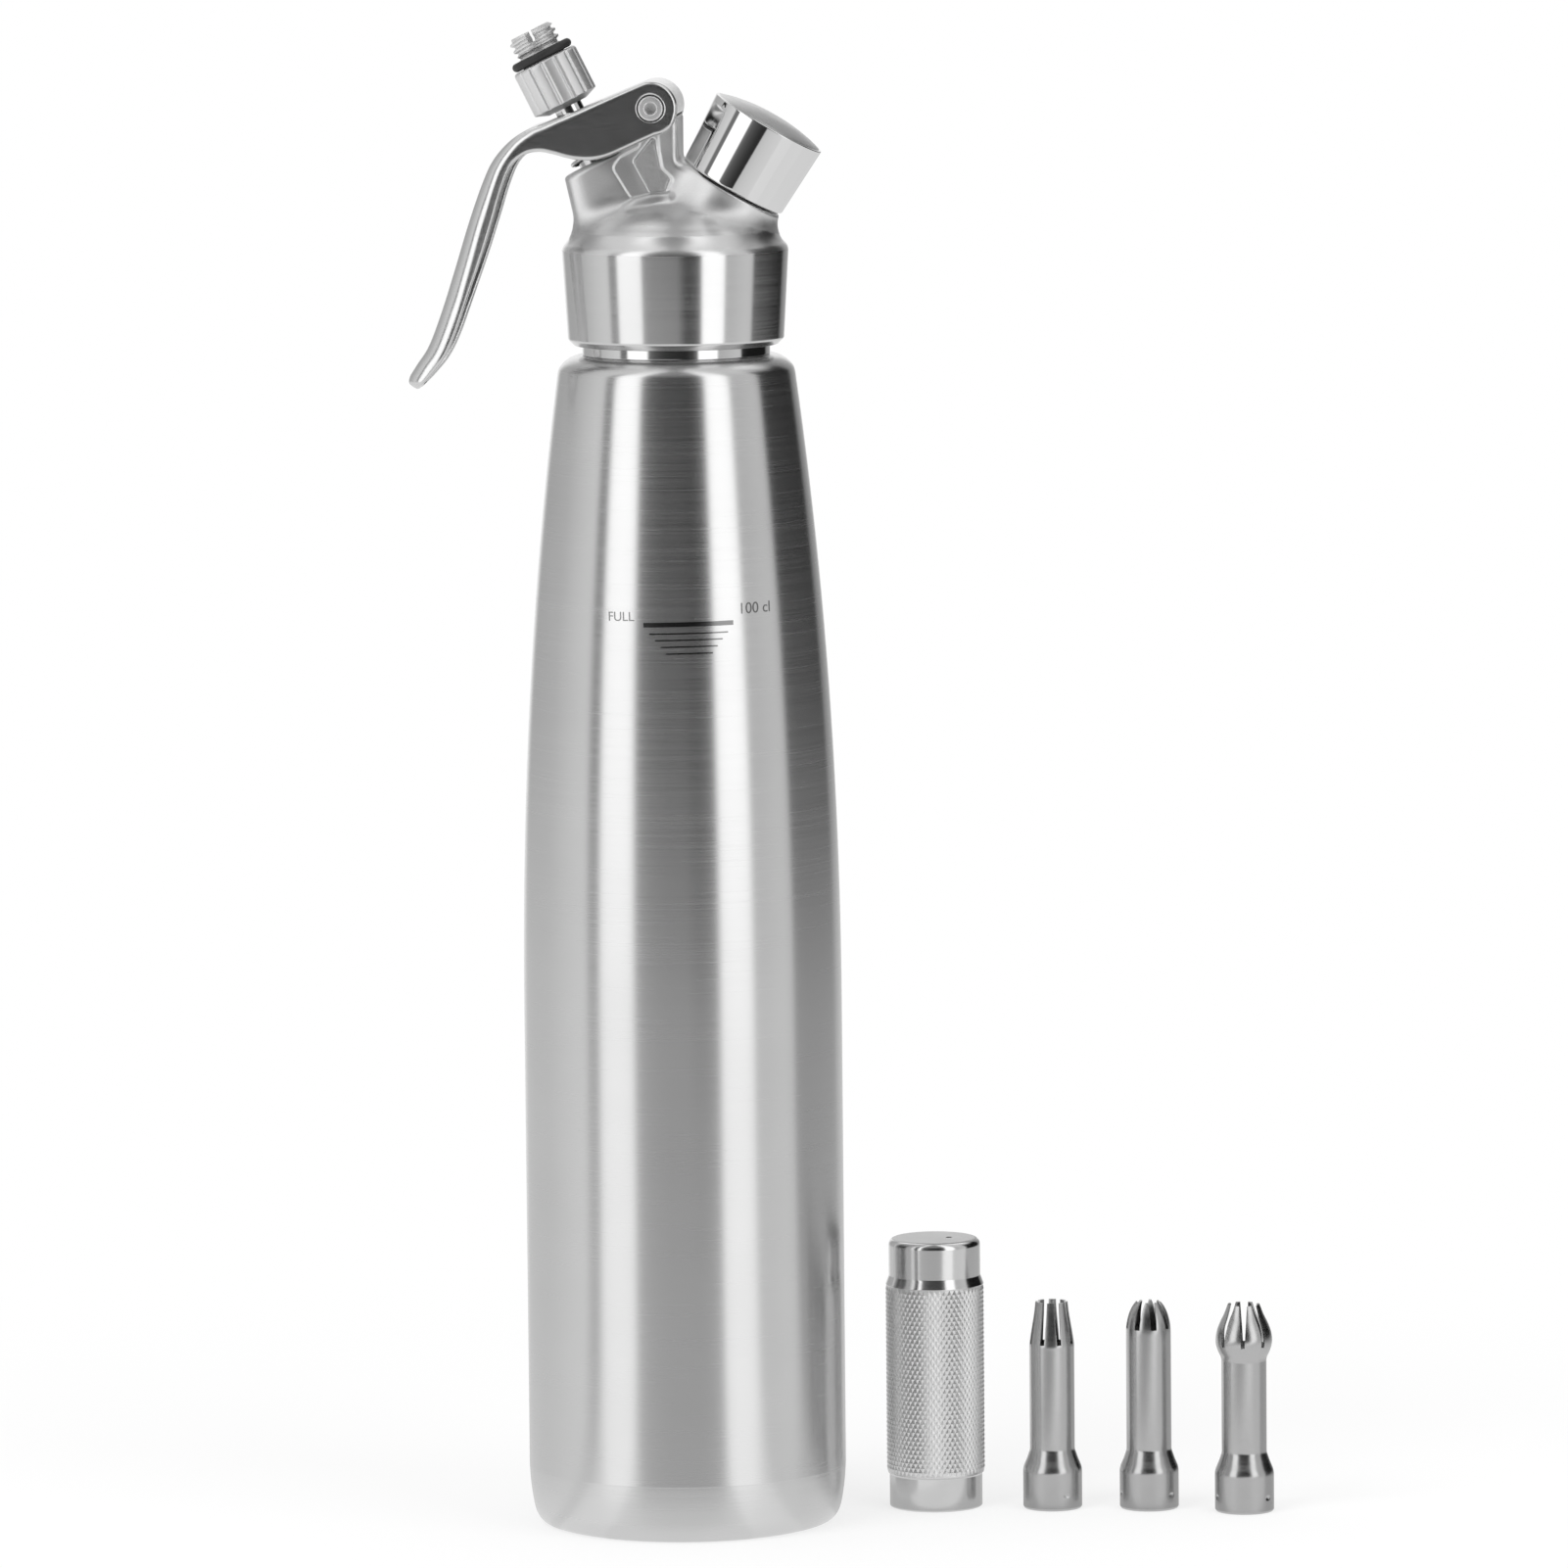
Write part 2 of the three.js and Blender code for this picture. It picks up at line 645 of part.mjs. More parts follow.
function valvePieces() {
  const bush = ring(guideBore, bushBore - fitGap, bushBottom, bushTop, smallSides);
  addPiece(valve, 'valve_guide_bush', bush, yellowBrass);
  addPiece(valve, 'valve_stem', valveStem(), polishedSteel);
  addPiece(valve, 'stem_o_ring', stemRingPiece(), blackRubber);
  addPiece(valve, 'poppet_seal',
    ring(stemFootRadius + fitGap, poppetRadius, sealBottom, sealTop, smallSides), blackRubber);
  addPiece(valve, 'poppet_disc',
    ring(stemFootRadius + fitGap, poppetRadius, footBottom, poppetTop, smallSides), satinSteel);
  addPiece(valve, 'return_spring',
    coilTube(springMeanRadius, springWire, springBottom, springTop, springTurns), polishedSteel);
  addPiece(valve, 'thrust_washer',
    ring(stemNeckRadius + fitGap, washerRadius, washerBottom, washerTop, smallSides), satinSteel);
  addPiece(valve, 'nozzle_adapter', nozzleAdapter(), satinSteel);
  const ringHeight = adapterTop + adapterRingSection / 2 + fitGap / 2;
  addPiece(valve, 'adapter_o_ring',
    roundRing(adapterRingOuter - adapterRingSection / 2, adapterRingSection, ringHeight), blackRubber);
}

valvePieces();

// Lever
const cheekInner = blockThickness / 2 + leverGapSide;
const cheekOuter = cheekInner + leverSheet;

// Outer side of the lever from the plate to the tip, as shares of its reach and drop
const leverBackShares = [
  [0.484, 0.064], [0.571, 0.114], [0.637, 0.178], [0.679, 0.253], [0.737, 0.389], [0.794, 0.546],
  [0.851, 0.699], [0.902, 0.818], [0.959, 0.892], [0.997, 0.939], [1, 0.961]];
const leverTipShare = [0.981, 1];
// Inner side from the tip to the pivot end of the cheeks
const leverFrontShares = [
  [0.908, 0.939], [0.857, 0.886], [0.81, 0.806], [0.751, 0.674], [0.687, 0.514], [0.637, 0.382],
  [0.592, 0.278], [0.549, 0.203], [0.505, 0.154], [0.449, 0.149], [0.395, 0.157], [0.34, 0.169],
  [0.286, 0.176], [0.232, 0.178], [0.176, 0.168], [0.121, 0.146], [0.051, 0.118]];

function fromPivot([across, down]) {
  return [pivotX - across * leverReach, pivotZ - down * leverDrop];
}

function platePoint(distance, along) {
  return [
    pivotX + distance * plateNormal.x - along * Math.cos(leverSlope),
    pivotZ + distance * plateNormal.y - along * Math.sin(leverSlope)];
}

function leverBack() {
  const wrap = arcPoints(pivotX, pivotZ, leverRadius, leverWrapEnd, Math.PI / 2 + leverSlope, 8);
  return [...wrap, platePoint(leverRadius, leverPlateLength), ...leverBackShares.map(fromPivot)];
}

// The back moved inwards by the sheet thickness
function leverInside() {
  const back = leverBack();
  return back.map(([x, z], i) => {
    const before = back[Math.max(0, i - 1)];
    const after = back[Math.min(back.length - 1, i + 1)];
    const [alongX, alongZ] = [after[0] - before[0], after[1] - before[1]];
    const length = Math.hypot(alongX, alongZ);
    return [x - (leverSheet * -alongZ) / -length, z - (leverSheet * alongX) / -length];
  });
}

function leverWidthPlan(half, tipHalf) {
  const [top, bend] = [pivotZ + leverRadius + cutOverrun, pivotZ - leverDrop * 0.17];
  const [blade, tip] = [pivotZ - leverDrop * 0.93, pivotZ - leverDrop - cutOverrun];
  const tipEdge = tipHalf * 0.55;
  return [[-half, top], [-half, bend], [-tipHalf, blade], [-tipEdge, tip],
    [tipEdge, tip], [tipHalf, blade], [half, bend], [half, top]];
}

function leverPiece() {
  const pivotEnd = arcPoints(pivotX, pivotZ, leverRadius, -Math.PI * 0.44, leverWrapEnd, 3);
  const front = leverFrontShares.map(fromPivot);
  const outline = [...leverBack(), fromPivot(leverTipShare), ...front, ...pivotEnd];
  outline.pop();
  const middle = pivotX - leverReach / 2;
  const span = 2 * leverReach;
  const plan = (half, tipHalf) => toSolid(crossPlate(leverWidthPlan(half, tipHalf), span, middle));
  const blank = toSolid(uprightPlate(outline, 2 * cheekOuter, leverEdge));
  // The channel stays open below, and to the right of where the sheet wraps round the pivot
  const inside = leverInside().slice(0, -3);
  const [firstX, firstZ] = inside[0];
  const below = pivotZ - leverDrop;
  const right = pivotX + leverRadius + cutOverrun;
  const [lastX, lastZ] = inside[inside.length - 1];
  const channelOutline = [
    ...inside, [lastX + leverReach * 0.04, lastZ - leverSheet], [pivotX - leverReach * 0.6, below],
    [right, below], [right, firstZ - leverSheet * 0.4], [firstX, firstZ]];
  channelOutline.pop();
  const channel = toSolid(uprightPlate(channelOutline, 2 * cheekInner))
    .intersect(plan(cheekInner, leverTipHalf - leverSheet));
  const ribLength = 2 * cheekInner + leverSheet;
  const rib = new THREE.CylinderGeometry(thrustRibRadius, thrustRibRadius, ribLength, smallSides);
  const ribPlace = new THREE.Vector3(0, 0, plateUnder).applyMatrix4(valve.matrixWorld);
  rib.translate(ribPlace.x, 0, ribPlace.z);
  const ribInPlate = toSolid(rib).intersect(toSolid(uprightPlate(outline, 2 * cheekOuter)));
  const body = blank.intersect(plan(cheekOuter, leverTipHalf)).subtract(channel).add(ribInPlate);
  return without(body, ...stemSlot(), acrossY(pivotHeadRadius + fitGap, 2 * cheekOuter + cutOverrun));
}

// Long hole for the stem, drawn out along the plate because the lever swings past it
function stemSlot() {
  const radius = stemNeckRadius + leverHoleGap;
  return [-1, 0, 1].map((side) => {
    const hole = new THREE.CylinderGeometry(radius, radius, 4 * adapterLift + 4 * leverSheet, smallSides);
    return onValveAxis(hole.rotateX(Math.PI / 2).translate(side * leverSlotSpare, 0, plateUnder));
  });
}

addPiece(head, 'lever', leverPiece(), polishedSteel);

// Pivot: a barrel nut from the back and a socket screw from the front
function pivotHead(side, socketed) {
  const outerFace = cheekOuter + pivotHeadProud;
  const centre = side * (outerFace - pivotHeadThickness / 2);
  const headBody = toSolid(acrossY(pivotHeadRadius, pivotHeadThickness).translate(0, centre, 0));
  if (!socketed) return headBody;
  const socket = new THREE.CylinderGeometry(hexSocketRadius, hexSocketRadius, 2 * hexSocketDepth, 6);
  return without(headBody, socket.translate(pivotX, side * outerFace, pivotZ));
}

function pivotPieces() {
  const headInside = cheekOuter + pivotHeadProud - pivotHeadThickness;
  const rooted = pivotHeadThickness / 2;
  const barrelLength = 2 * headInside - fitGap + rooted;
  const barrel = acrossY(barrelRadius, barrelLength).translate(0, (fitGap + rooted) / 2, 0);
  const threadBore = acrossY(pivotThreadRadius + fitGap, barrelLength).translate(0, -pivotHeadThickness, 0);
  const nut = without(pivotHead(1, false).add(toSolid(barrel)), threadBore);
  const shankLength = barrelLength - 2 * pivotHeadThickness;
  const shankMiddle = shankLength / 2 - headInside - rooted;
  const shank = acrossY(pivotThreadRadius, shankLength).translate(0, shankMiddle, 0);
  addPiece(head, 'pivot_barrel_nut', nut, satinSteel);
  addPiece(head, 'pivot_screw', pivotHead(-1, true).add(toSolid(shank)), satinSteel);
}

pivotPieces();

// Charger port pieces along the port axis
const spigotTop = fitGap + spigotHeight;
const capSealBottom = spigotTop + fitGap;
const capCeiling = capSealBottom + capSealThickness + fitGap;
const capBore = spigotRoot + spigotThreadDepth + 2 * fitGap;
const pinFoot = fitGap - portSocketDepth;

function portSpigot() {
  const shank = portSocketRadius - fitGap;
  const body = turned([
    [0, pinFoot], [shank, pinFoot], [shank, fitGap],
    [spigotRoot, fitGap], [spigotRoot, spigotTop], [0, spigotTop]]);
  const thread = threadRidge(spigotRoot, spigotThreadDepth, spigotPitch, fitGap + spigotPitch, spigotTurns);
  const recess = disc(spigotRecess, spigotFloor, spigotTop + cutOverrun);
  const pinSeat = disc(pinRadius + fitGap, pinFoot - cutOverrun, spigotFloor + cutOverrun, smallSides);
  return without(joined(body, thread), recess, pinSeat);
}

function piercingPin() {
  const tipTop = spigotFloor + portGasketThickness + pinTipHeight;
  const tipBottom = tipTop - pinTipHeight;
  const blank = turned([
    [0, pinFoot], [pinRadius, pinFoot], [pinRadius, tipBottom],
    [2 * pinHole, tipTop], [0, tipTop]], smallSides);
  return without(toSolid(blank), disc(pinHole, pinFoot - cutOverrun, tipTop + cutOverrun, smallSides / 2));
}

function protectiveCap() {
  const profile = [
    [capBore, 2 * fitGap], [capBaseRadius - capEdge, 2 * fitGap], [capBaseRadius, 2 * fitGap + capEdge],
    [capTopRadius, capLength - capEdge], [capTopRadius - capEdge, capLength]];
  const crownShares = [[0.72, 0.5], [0.4, 0.87], [0, 1]];
  for (const [across, up] of crownShares) {
    profile.push([(capTopRadius - capEdge) * across, capLength + capCrown * up]);
  }
  profile.push([0, capCeiling], [capBore, capCeiling], [capBore, 2 * fitGap]);
  return turned(profile, bodySides);
}

function checkValve() {
  const stem = gasBore - 2 * fitGap;
  const headTop = -gasSeatDepth - fitGap;
  const headBottom = headTop - checkHeadThickness;
  const stemEnd = pinFoot - 2 * fitGap - checkTravel;
  return turned([
    [0, headBottom], [checkHeadRadius, headBottom], [checkHeadRadius, headTop],
    [stem, headTop], [stem, stemEnd], [0, stemEnd]], smallSides);
}

function portPieces() {
  const gasketFloor = spigotFloor + fitGap;
  const gasketTop = gasketFloor + portGasketThickness;
  addPiece(port, 'port_spigot', portSpigot(), satinSteel);
  addPiece(port, 'piercing_pin', piercingPin(), polishedSteel);
  const gasket = ring(pinRadius + fitGap, portGasketOuter, gasketFloor, gasketTop, smallSides);
  addPiece(port, 'port_gasket', gasket, blackRubber);
  addPiece(port, 'gas_check_valve', checkValve(), blackRubber);
  const sealTopFace = capSealBottom + capSealThickness;
  addPiece(port, 'cap_seal', disc(spigotRoot, capSealBottom, sealTopFace), blackRubber);
  addPiece(port, 'protective_cap', protectiveCap(), polishedSteel);
}

portPieces();

// Charger holder
function chargerHolder() {
  const gripBottom = holderBandHeight;
  const ringTop = holderHeight - holderTopHeight;
  const gripTop = ringTop - holderRingHeight;
  const step = holderGripRadius - holderBandRadius;
  const mouth = holderBore + step * 2;
  const roof = holderHeight - holderRoof;
  const body = turned([
    [holderBore, holderMouthDepth], [mouth, holderMouthDepth - step], [mouth, 0], [holderBandRadius, 0],
    [holderBandRadius, gripBottom], [holderGripRadius, gripBottom + step], [holderGripRadius, gripTop],
    [holderTopRadius, ringTop], [holderTopRadius, holderHeight - holderEdge],
    [holderTopRadius - holderEdge * 0.3, holderHeight - holderEdge * 0.3],
    [holderTopRadius - holderEdge, holderHeight], [0, holderHeight],
    [0, roof], [holderBore * 0.6, roof], [holderBore, roof - holderBore * 0.4],
    [holderBore, holderMouthDepth]]);
  const vent = disc(holderVentRadius, roof - cutOverrun, holderHeight + cutOverrun, smallSides / 2);
  vent.translate(holderBore * 0.4, 0, 0);
  return without(toSolid(body), vent);
}

addPiece(dispenser, 'charger_holder', chargerHolder(), satinAluminium)
  .position.set(holderX, holderY, 0);

// Nozzles: the base flares out below the tube, and each tip has its own outline,
// given as shares of the mouth, tube and bulb radii and of the finger length
function nozzleShell(tip, slotWidth, slotTurn, slotShare, slotTaper) {
  const tubeBottom = nozzleBaseHeight + nozzleFlareHeight;
  const outer = [
    [nozzleBaseRadius - nozzleWall, 0], [nozzleBaseRadius, nozzleWall], [nozzleBaseRadius, nozzleBaseHeight],
    [nozzleTubeRadius, tubeBottom], ...tip];
  const inner = outer.map(([radius, height]) => [radius - nozzleWall, height]);
  inner[0] = [nozzleBaseRadius - 2 * nozzleWall, 0];
  inner[1] = [nozzleBaseRadius - nozzleWall, 2 * nozzleWall];
  const shell = toSolid(turned([...outer, ...inner.reverse(), outer[0]], nozzleSides));
  const slotBottom = nozzleHeight - fingerLength * slotShare;
  const slotHeight = fingerLength * slotShare + cutOverrun;
  const slots = [];
  for (let i = 0; i < fingerCount; i += 1) {
    const half = slotWidth / 2;
    const points = [[-half * slotTaper, 0], [half * slotTaper, 0], [half, slotHeight], [-half, slotHeight]];
    const slot = crossPlate(points, nozzleBulbRadius, nozzleBulbRadius / 2 + fitGap);
    const angle = (2 * Math.PI * (i + 0.5)) / fingerCount + slotTurn;
    slots.push(slot.translate(0, 0, slotBottom).rotateZ(angle));
  }
  return without(shell, ...slots);
}

function tipOutline(shares, wideRadius) {
  const narrow = nozzleMouthRadius;
  return shares.map(([spread, down]) => [
    narrow + (wideRadius - narrow) * spread, nozzleHeight - fingerLength * down]);
}

function nozzleInsert() {
  const outer = nozzleBaseRadius - nozzleWall - fitGap / 2;
  const foot = 2 * nozzleWall + fitGap;
  return ring(outer - insertWall, outer, foot, foot + insertLength, nozzleSides);
}

function addNozzle(name, x, y, shell) {
  const nozzle = new THREE.Group();
  nozzle.position.set(x, y, 0);
  dispenser.add(nozzle);
  addPiece(nozzle, `${name}_nozzle`, shell, satinSteel);
  addPiece(nozzle, `${name}_nozzle_insert`, nozzleInsert(), satinAluminium);
}

const straightTip = [
  [nozzleTubeRadius, nozzleHeight - fingerLength * 0.9], [straightMouthRadius, nozzleHeight]];
const domeTip = tipOutline([[1, 0.58], [0.95, 0.4], [0.78, 0.2], [0.45, 0.07], [0.1, 0]], nozzleTubeRadius);
const bulbShares = [[0.62, 1.2], [0.88, 1], [1, 0.78], [0.84, 0.48], [0.46, 0.2], [0.28, 0]];
const bulbTip = tipOutline(bulbShares, nozzleBulbRadius);
addNozzle('straight', straightNozzleX, straightNozzleY,
  nozzleShell(straightTip, straightSlotWidth, 0, 0.93, 0.8));
addNozzle('dome', domeNozzleX, domeNozzleY,
  nozzleShell(domeTip, domeSlotWidth, domeSlotTurn, 0.6, 0.8));
addNozzle('bulb', bulbNozzleX, bulbNozzleY,
  nozzleShell(bulbTip, bulbSlotWidth, bulbSlotTurn, 0.9, 0.45));

export default dispenser;
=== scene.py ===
# %% [markdown]
# # A cream dispenser with its charger holder and three nozzles
# The CAD model gives every piece its place and its size. This lesson gives each visible piece
# its real surface: rounded edges, threads, knurling, cast fillets and brushed or polished steel.
# Lengths in the cells are in millimetres, because that is how a maker measures such a thing.
# They become metres only where a mesh is made.

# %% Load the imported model
import math

import bpy
import numpy as np
from mathutils import Matrix, Vector


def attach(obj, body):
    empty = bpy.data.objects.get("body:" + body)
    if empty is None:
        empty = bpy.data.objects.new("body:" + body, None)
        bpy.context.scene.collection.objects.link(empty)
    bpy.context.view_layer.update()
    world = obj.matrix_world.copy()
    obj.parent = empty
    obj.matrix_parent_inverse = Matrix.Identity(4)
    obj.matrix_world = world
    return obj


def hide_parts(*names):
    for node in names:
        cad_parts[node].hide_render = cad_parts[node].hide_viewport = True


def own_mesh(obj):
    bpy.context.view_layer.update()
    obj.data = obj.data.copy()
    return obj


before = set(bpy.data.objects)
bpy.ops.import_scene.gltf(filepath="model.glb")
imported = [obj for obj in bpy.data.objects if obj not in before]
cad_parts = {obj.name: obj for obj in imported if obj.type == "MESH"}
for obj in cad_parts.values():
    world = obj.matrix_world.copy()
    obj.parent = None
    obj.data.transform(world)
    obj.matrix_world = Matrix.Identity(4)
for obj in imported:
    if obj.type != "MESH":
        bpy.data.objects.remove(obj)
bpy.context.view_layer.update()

# %% [markdown]
# ## The camera
# The photograph was taken from almost three metres with a long lens, a little from the right
# and a little from above. A matrix made of three directions says this most plainly: to the
# right, up, and back towards the viewer. The slight roll leans the bottle to the left.

# %% Camera
PHOTO_SIDE = 1601
FOCAL_PIXELS = 11780
SENSOR = 36


def make_camera(turn, distance, sideways, height, aim_height, roll):
    """Stands the camera on a circle round the object, looks at a point on the object's own
    upright, and rolls it about the line of sight."""
    level = np.array([math.cos(turn), math.sin(turn), 0.0])
    outward = np.array([math.sin(turn), -math.cos(turn), 0.0])
    place = level * sideways + outward * distance + np.array([0, 0, height])
    aim = level * sideways + np.array([0, 0, aim_height])
    forward = (aim - place) / np.linalg.norm(aim - place)
    upright = np.cross(level, forward)
    right = level * math.cos(roll) - upright * math.sin(roll)
    above = upright * math.cos(roll) + level * math.sin(roll)
    data = bpy.data.cameras.new("camera")
    data.sensor_width = SENSOR
    data.lens = SENSOR * FOCAL_PIXELS / PHOTO_SIDE
    data.clip_start, data.clip_end = 0.1, 30
    camera = bpy.data.objects.new("camera", data)
    bpy.context.scene.collection.objects.link(camera)
    columns = np.eye(4)
    columns[:3, 0], columns[:3, 1], columns[:3, 2] = right, above, -forward
    columns[:3, 3] = place / 1000
    camera.matrix_world = Matrix(columns.tolist())
    return camera


# The turn and the roll are in degrees; the distance, the sideways place and the heights of the
# camera and of the point it looks at are in millimetres
CAMERA_TURN, CAMERA_ROLL = math.radians(4.5), math.radians(0.5436)
CAMERA_DISTANCE, CAMERA_SIDEWAYS, CAMERA_HEIGHT, AIM_HEIGHT = 2890, 26.005, 509, 187.17
bpy.context.scene.camera = make_camera(CAMERA_TURN, CAMERA_DISTANCE, CAMERA_SIDEWAYS,
                                       CAMERA_HEIGHT, AIM_HEIGHT, CAMERA_ROLL)
bpy.context.scene.view_settings.view_transform = "Standard"
print("lens in millimetres:", round(bpy.context.scene.camera.data.lens, 1))

# %% [markdown]
# ## One helper for nodes, one for colours
# Every material and the surroundings are node trees. A single small function adds a node with
# its settings, values and links, so that a tree reads like a list. Colours are written as
# the hex values seen on a screen and turned into linear light by one function.

# %% Node and colour helpers
def add(tree, kind, values=(), links=(), **settings):
    """Adds one shader node, then sets its properties, its input values and its links."""
    node = tree.nodes.new("ShaderNode" + kind)
    for key, value in settings.items():
        setattr(node, key, value)
    for socket, value in dict(values).items():
        node.inputs[socket].default_value = value
    for socket, source in dict(links).items():
        tree.links.new(source, node.inputs[socket])
    return node


def linear(code):
    """Screen value to linear light: a straight part near black, then a power of 2.4."""
    parts = np.array([int(code[i:i + 2], 16) for i in (1, 3, 5)]) / 255
    light = np.where(parts <= 0.04045, parts / 12.92, ((parts + 0.055) / 1.055) ** 2.4)
    return (*light, 1.0)


def grey(level):
    return (level, level, level, 1.0)


def fill_ramp(node, stops):
    """Puts a list of (place, grey level) into a colour ramp."""
    elements = node.color_ramp.elements
    while len(elements) < len(stops):
        elements.new(0.5)
    for element, (place, level) in zip(elements, stops):
        element.position = place
        element.color = grey(level)


print("middle grey in linear light:", round(float(linear("#808080")[0]), 3))

# %% [markdown]
# ## The studio
# Steel has hardly any colour of its own: it shows what stands round it. The bands on this
# bottle are two narrow soft boxes, the dark room between them, pale screens further round
# and one black card on the right. They are worked out from the direction of a
# reflected ray, so they form a plain studio round the object: one grey level for each compass
# direction. Overhead the front's pattern is folded over to the back, as soft boxes that
# lean in over the table would show, and a thin pale canopy lifts what is dark there. Mirrors
# see these bands, dull surfaces an even light, and the camera a white background.

# %% Compass of the studio
# Degrees round the object, 0 towards the photographer and positive to the right, with the
# brightness there
STUDIO_FACING = 5.0
STUDIO_BANDS = [
    (-180, 1.02), (-166, 0.95), (-154, 0.44), (-112, 0.54), (-90, 0.70), (-74, 0.80),
    (-71, 0.20), (-63.5, 0.20), (-61.5, 1.46), (-36, 1.46), (-34.5, 0.22), (-29, 0.12), (-21, 0.07),
    (-12, 0.035), (12, 0.02), (20, 0.06), (25.5, 0.16), (28, 1.48), (51, 1.48),
    (53, 0.52), (80, 0.68), (86, 0.66), (88, 0.02), (98, 0.008), (140, 0.008),
    (146, 0.24), (166, 0.46), (172, 0.95), (180, 1.02)]


def compass_level(tree, right, towards, stops):
    """A value by compass direction: the angle between the two parts of a direction, one to
    the right and one towards the photographer, sets the place on a ramp."""
    angle = add(tree, "Math", links={0: right, 1: towards}, operation="ARCTAN2")
    share = add(tree, "Math", {1: 1 / (2 * math.pi), 2: 0.5 - STUDIO_FACING / 360},
                {0: angle.outputs[0]}, operation="MULTIPLY_ADD")
    wrapped = add(tree, "Math", {1: 1.0}, {0: share.outputs[0]}, operation="FLOORED_MODULO")
    ramp = add(tree, "ValToRGB", links={"Fac": wrapped.outputs[0]})
    fill_ramp(ramp, [((angle + 180) / 360, level) for angle, level in stops])
    return ramp.outputs["Color"]


def towards_camera(tree, y):
    """The photographer stands on the side of negative Y."""
    return add(tree, "Math", {1: -1.0}, {0: y}, operation="MULTIPLY").outputs[0]


print("studio bands:", len(STUDIO_BANDS))

# %% Surroundings
# Height of a direction (0 level, 1 straight up) where the fold and the canopy begin and end
FOLD_FROM, FOLD_TO = 0.50, 0.85
CANOPY_FROM, CANOPY_TO, CANOPY_SHARE, CANOPY_GREY = 0.45, 0.75, 0.28, 0.9
EVEN_LIGHT = 0.8


def make_surroundings():
    """The world: bands for mirrors, even light for dull surfaces, white for the camera."""
    world = bpy.data.worlds.new("studio")
    world.use_nodes = True
    world.cycles.sampling_method = "NONE"
    bpy.context.scene.world = world
    tree = world.node_tree
    tree.nodes.clear()
    direction = add(tree, "TexCoord").outputs["Generated"]
    parts = add(tree, "SeparateXYZ", links={0: direction})
    towards = towards_camera(tree, parts.outputs["Y"])
    walls = compass_level(tree, parts.outputs["X"], towards, STUDIO_BANDS)
    folded = add(tree, "Math", links={0: parts.outputs["Y"]}, operation="ABSOLUTE")
    overhead = compass_level(tree, parts.outputs["X"], folded.outputs[0], STUDIO_BANDS)
    ceiling = add(tree, "MapRange", {"From Min": FOLD_FROM, "From Max": FOLD_TO},
                  {"Value": parts.outputs["Z"]}, interpolation_type="SMOOTHSTEP")
    lit = add(tree, "MixRGB", links={"Fac": ceiling.outputs["Result"], "Color1": walls,
                                     "Color2": overhead})
    canopy = add(tree, "MapRange",
                 {"From Min": CANOPY_FROM, "From Max": CANOPY_TO, "To Max": CANOPY_SHARE},
                 {"Value": parts.outputs["Z"]}, interpolation_type="SMOOTHSTEP")
    softened = add(tree, "MixRGB", {"Color2": grey(CANOPY_GREY)},
                   {"Fac": canopy.outputs["Result"], "Color1": lit.outputs["Color"]})
    mirrored = add(tree, "Background", {"Strength": 1.0}, {"Color": softened.outputs["Color"]})
    ambient = add(tree, "Background", {"Color": grey(1.0), "Strength": EVEN_LIGHT})
    backdrop = add(tree, "Background", {"Color": grey(1.0), "Strength": 1.0})
    ray = add(tree, "LightPath")
    soft = add(tree, "MixShader", links={0: ray.outputs["Is Glossy Ray"],
                                         1: ambient.outputs[0], 2: mirrored.outputs[0]})
    seen = add(tree, "Math", links={0: ray.outputs["Is Camera Ray"],
                                    1: ray.outputs["Is Transmission Ray"]}, operation="MAXIMUM")
    final = add(tree, "MixShader", links={0: seen.outputs[0], 1: soft.outputs[0],
                                          2: backdrop.outputs[0]})
    add(tree, "OutputWorld", links={"Surface": final.outputs[0]})


make_surroundings()
print("world:", bpy.context.scene.world.name)

# %% [markdown]
# ## From numbers to meshes
# Most pieces here are turned on a lathe, so one function carries an outline of radius and
# height round an axis. Real edges are never knife sharp. Another function therefore swaps each
# corner of an outline for a small arc, with a point just past each end of the arc, which keeps
# the long flats beside it flat when the shading is smoothed.

# %% Mesh helpers
MM = 0.001


def make_mesh(name, points, faces, crisp=35):
    """Puts an array of points in millimetres and an array or list of faces into a mesh.
    Faces are turned to point outwards if the volume they enclose comes out negative. Edges
    that turn by more than the crisp angle are kept sharp."""
    points = np.asarray(points, float) * MM
    groups = [np.asarray(group, int) for group in faces if len(group)]
    volume = 0.0
    for group in groups:
        a, b, c = points[group[:, 0]], points[group[:, 1]], points[group[:, 2]]
        volume += np.einsum("ij,ij->", a, np.cross(b, c))
        if group.shape[1] == 4:
            d = points[group[:, 3]]
            volume += np.einsum("ij,ij->", a, np.cross(c, d))
    if volume < 0:
        groups = [group[:, ::-1] for group in groups]
    corners = np.concatenate([group.ravel() for group in groups])
    sizes = np.concatenate([np.full(len(group), group.shape[1]) for group in groups])
    starts = np.concatenate([[0], np.cumsum(sizes)[:-1]])
    mesh = bpy.data.meshes.new(name)
    mesh.vertices.add(len(points))
    mesh.vertices.foreach_set("co", points.ravel().astype(np.float32))
    mesh.loops.add(len(corners))
    mesh.loops.foreach_set("vertex_index", corners.astype(np.int32))
    mesh.polygons.add(len(sizes))
    mesh.polygons.foreach_set("loop_start", starts.astype(np.int32))
    mesh.update(calc_edges=True)
    mesh.validate()
    mesh.shade_smooth()
    if crisp:
        mesh.set_sharp_from_angle(angle=math.radians(crisp))
    return mesh


def place_piece(name, mesh, material, body, stands_for=()):
    """Makes the object, gives it its material and lets it ride on its CAD body."""
    mesh.materials.append(material)
    piece = bpy.data.objects.new(name, mesh)
    bpy.context.scene.collection.objects.link(piece)
    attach(piece, body)
    if stands_for:
        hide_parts(*stands_for)
    return piece


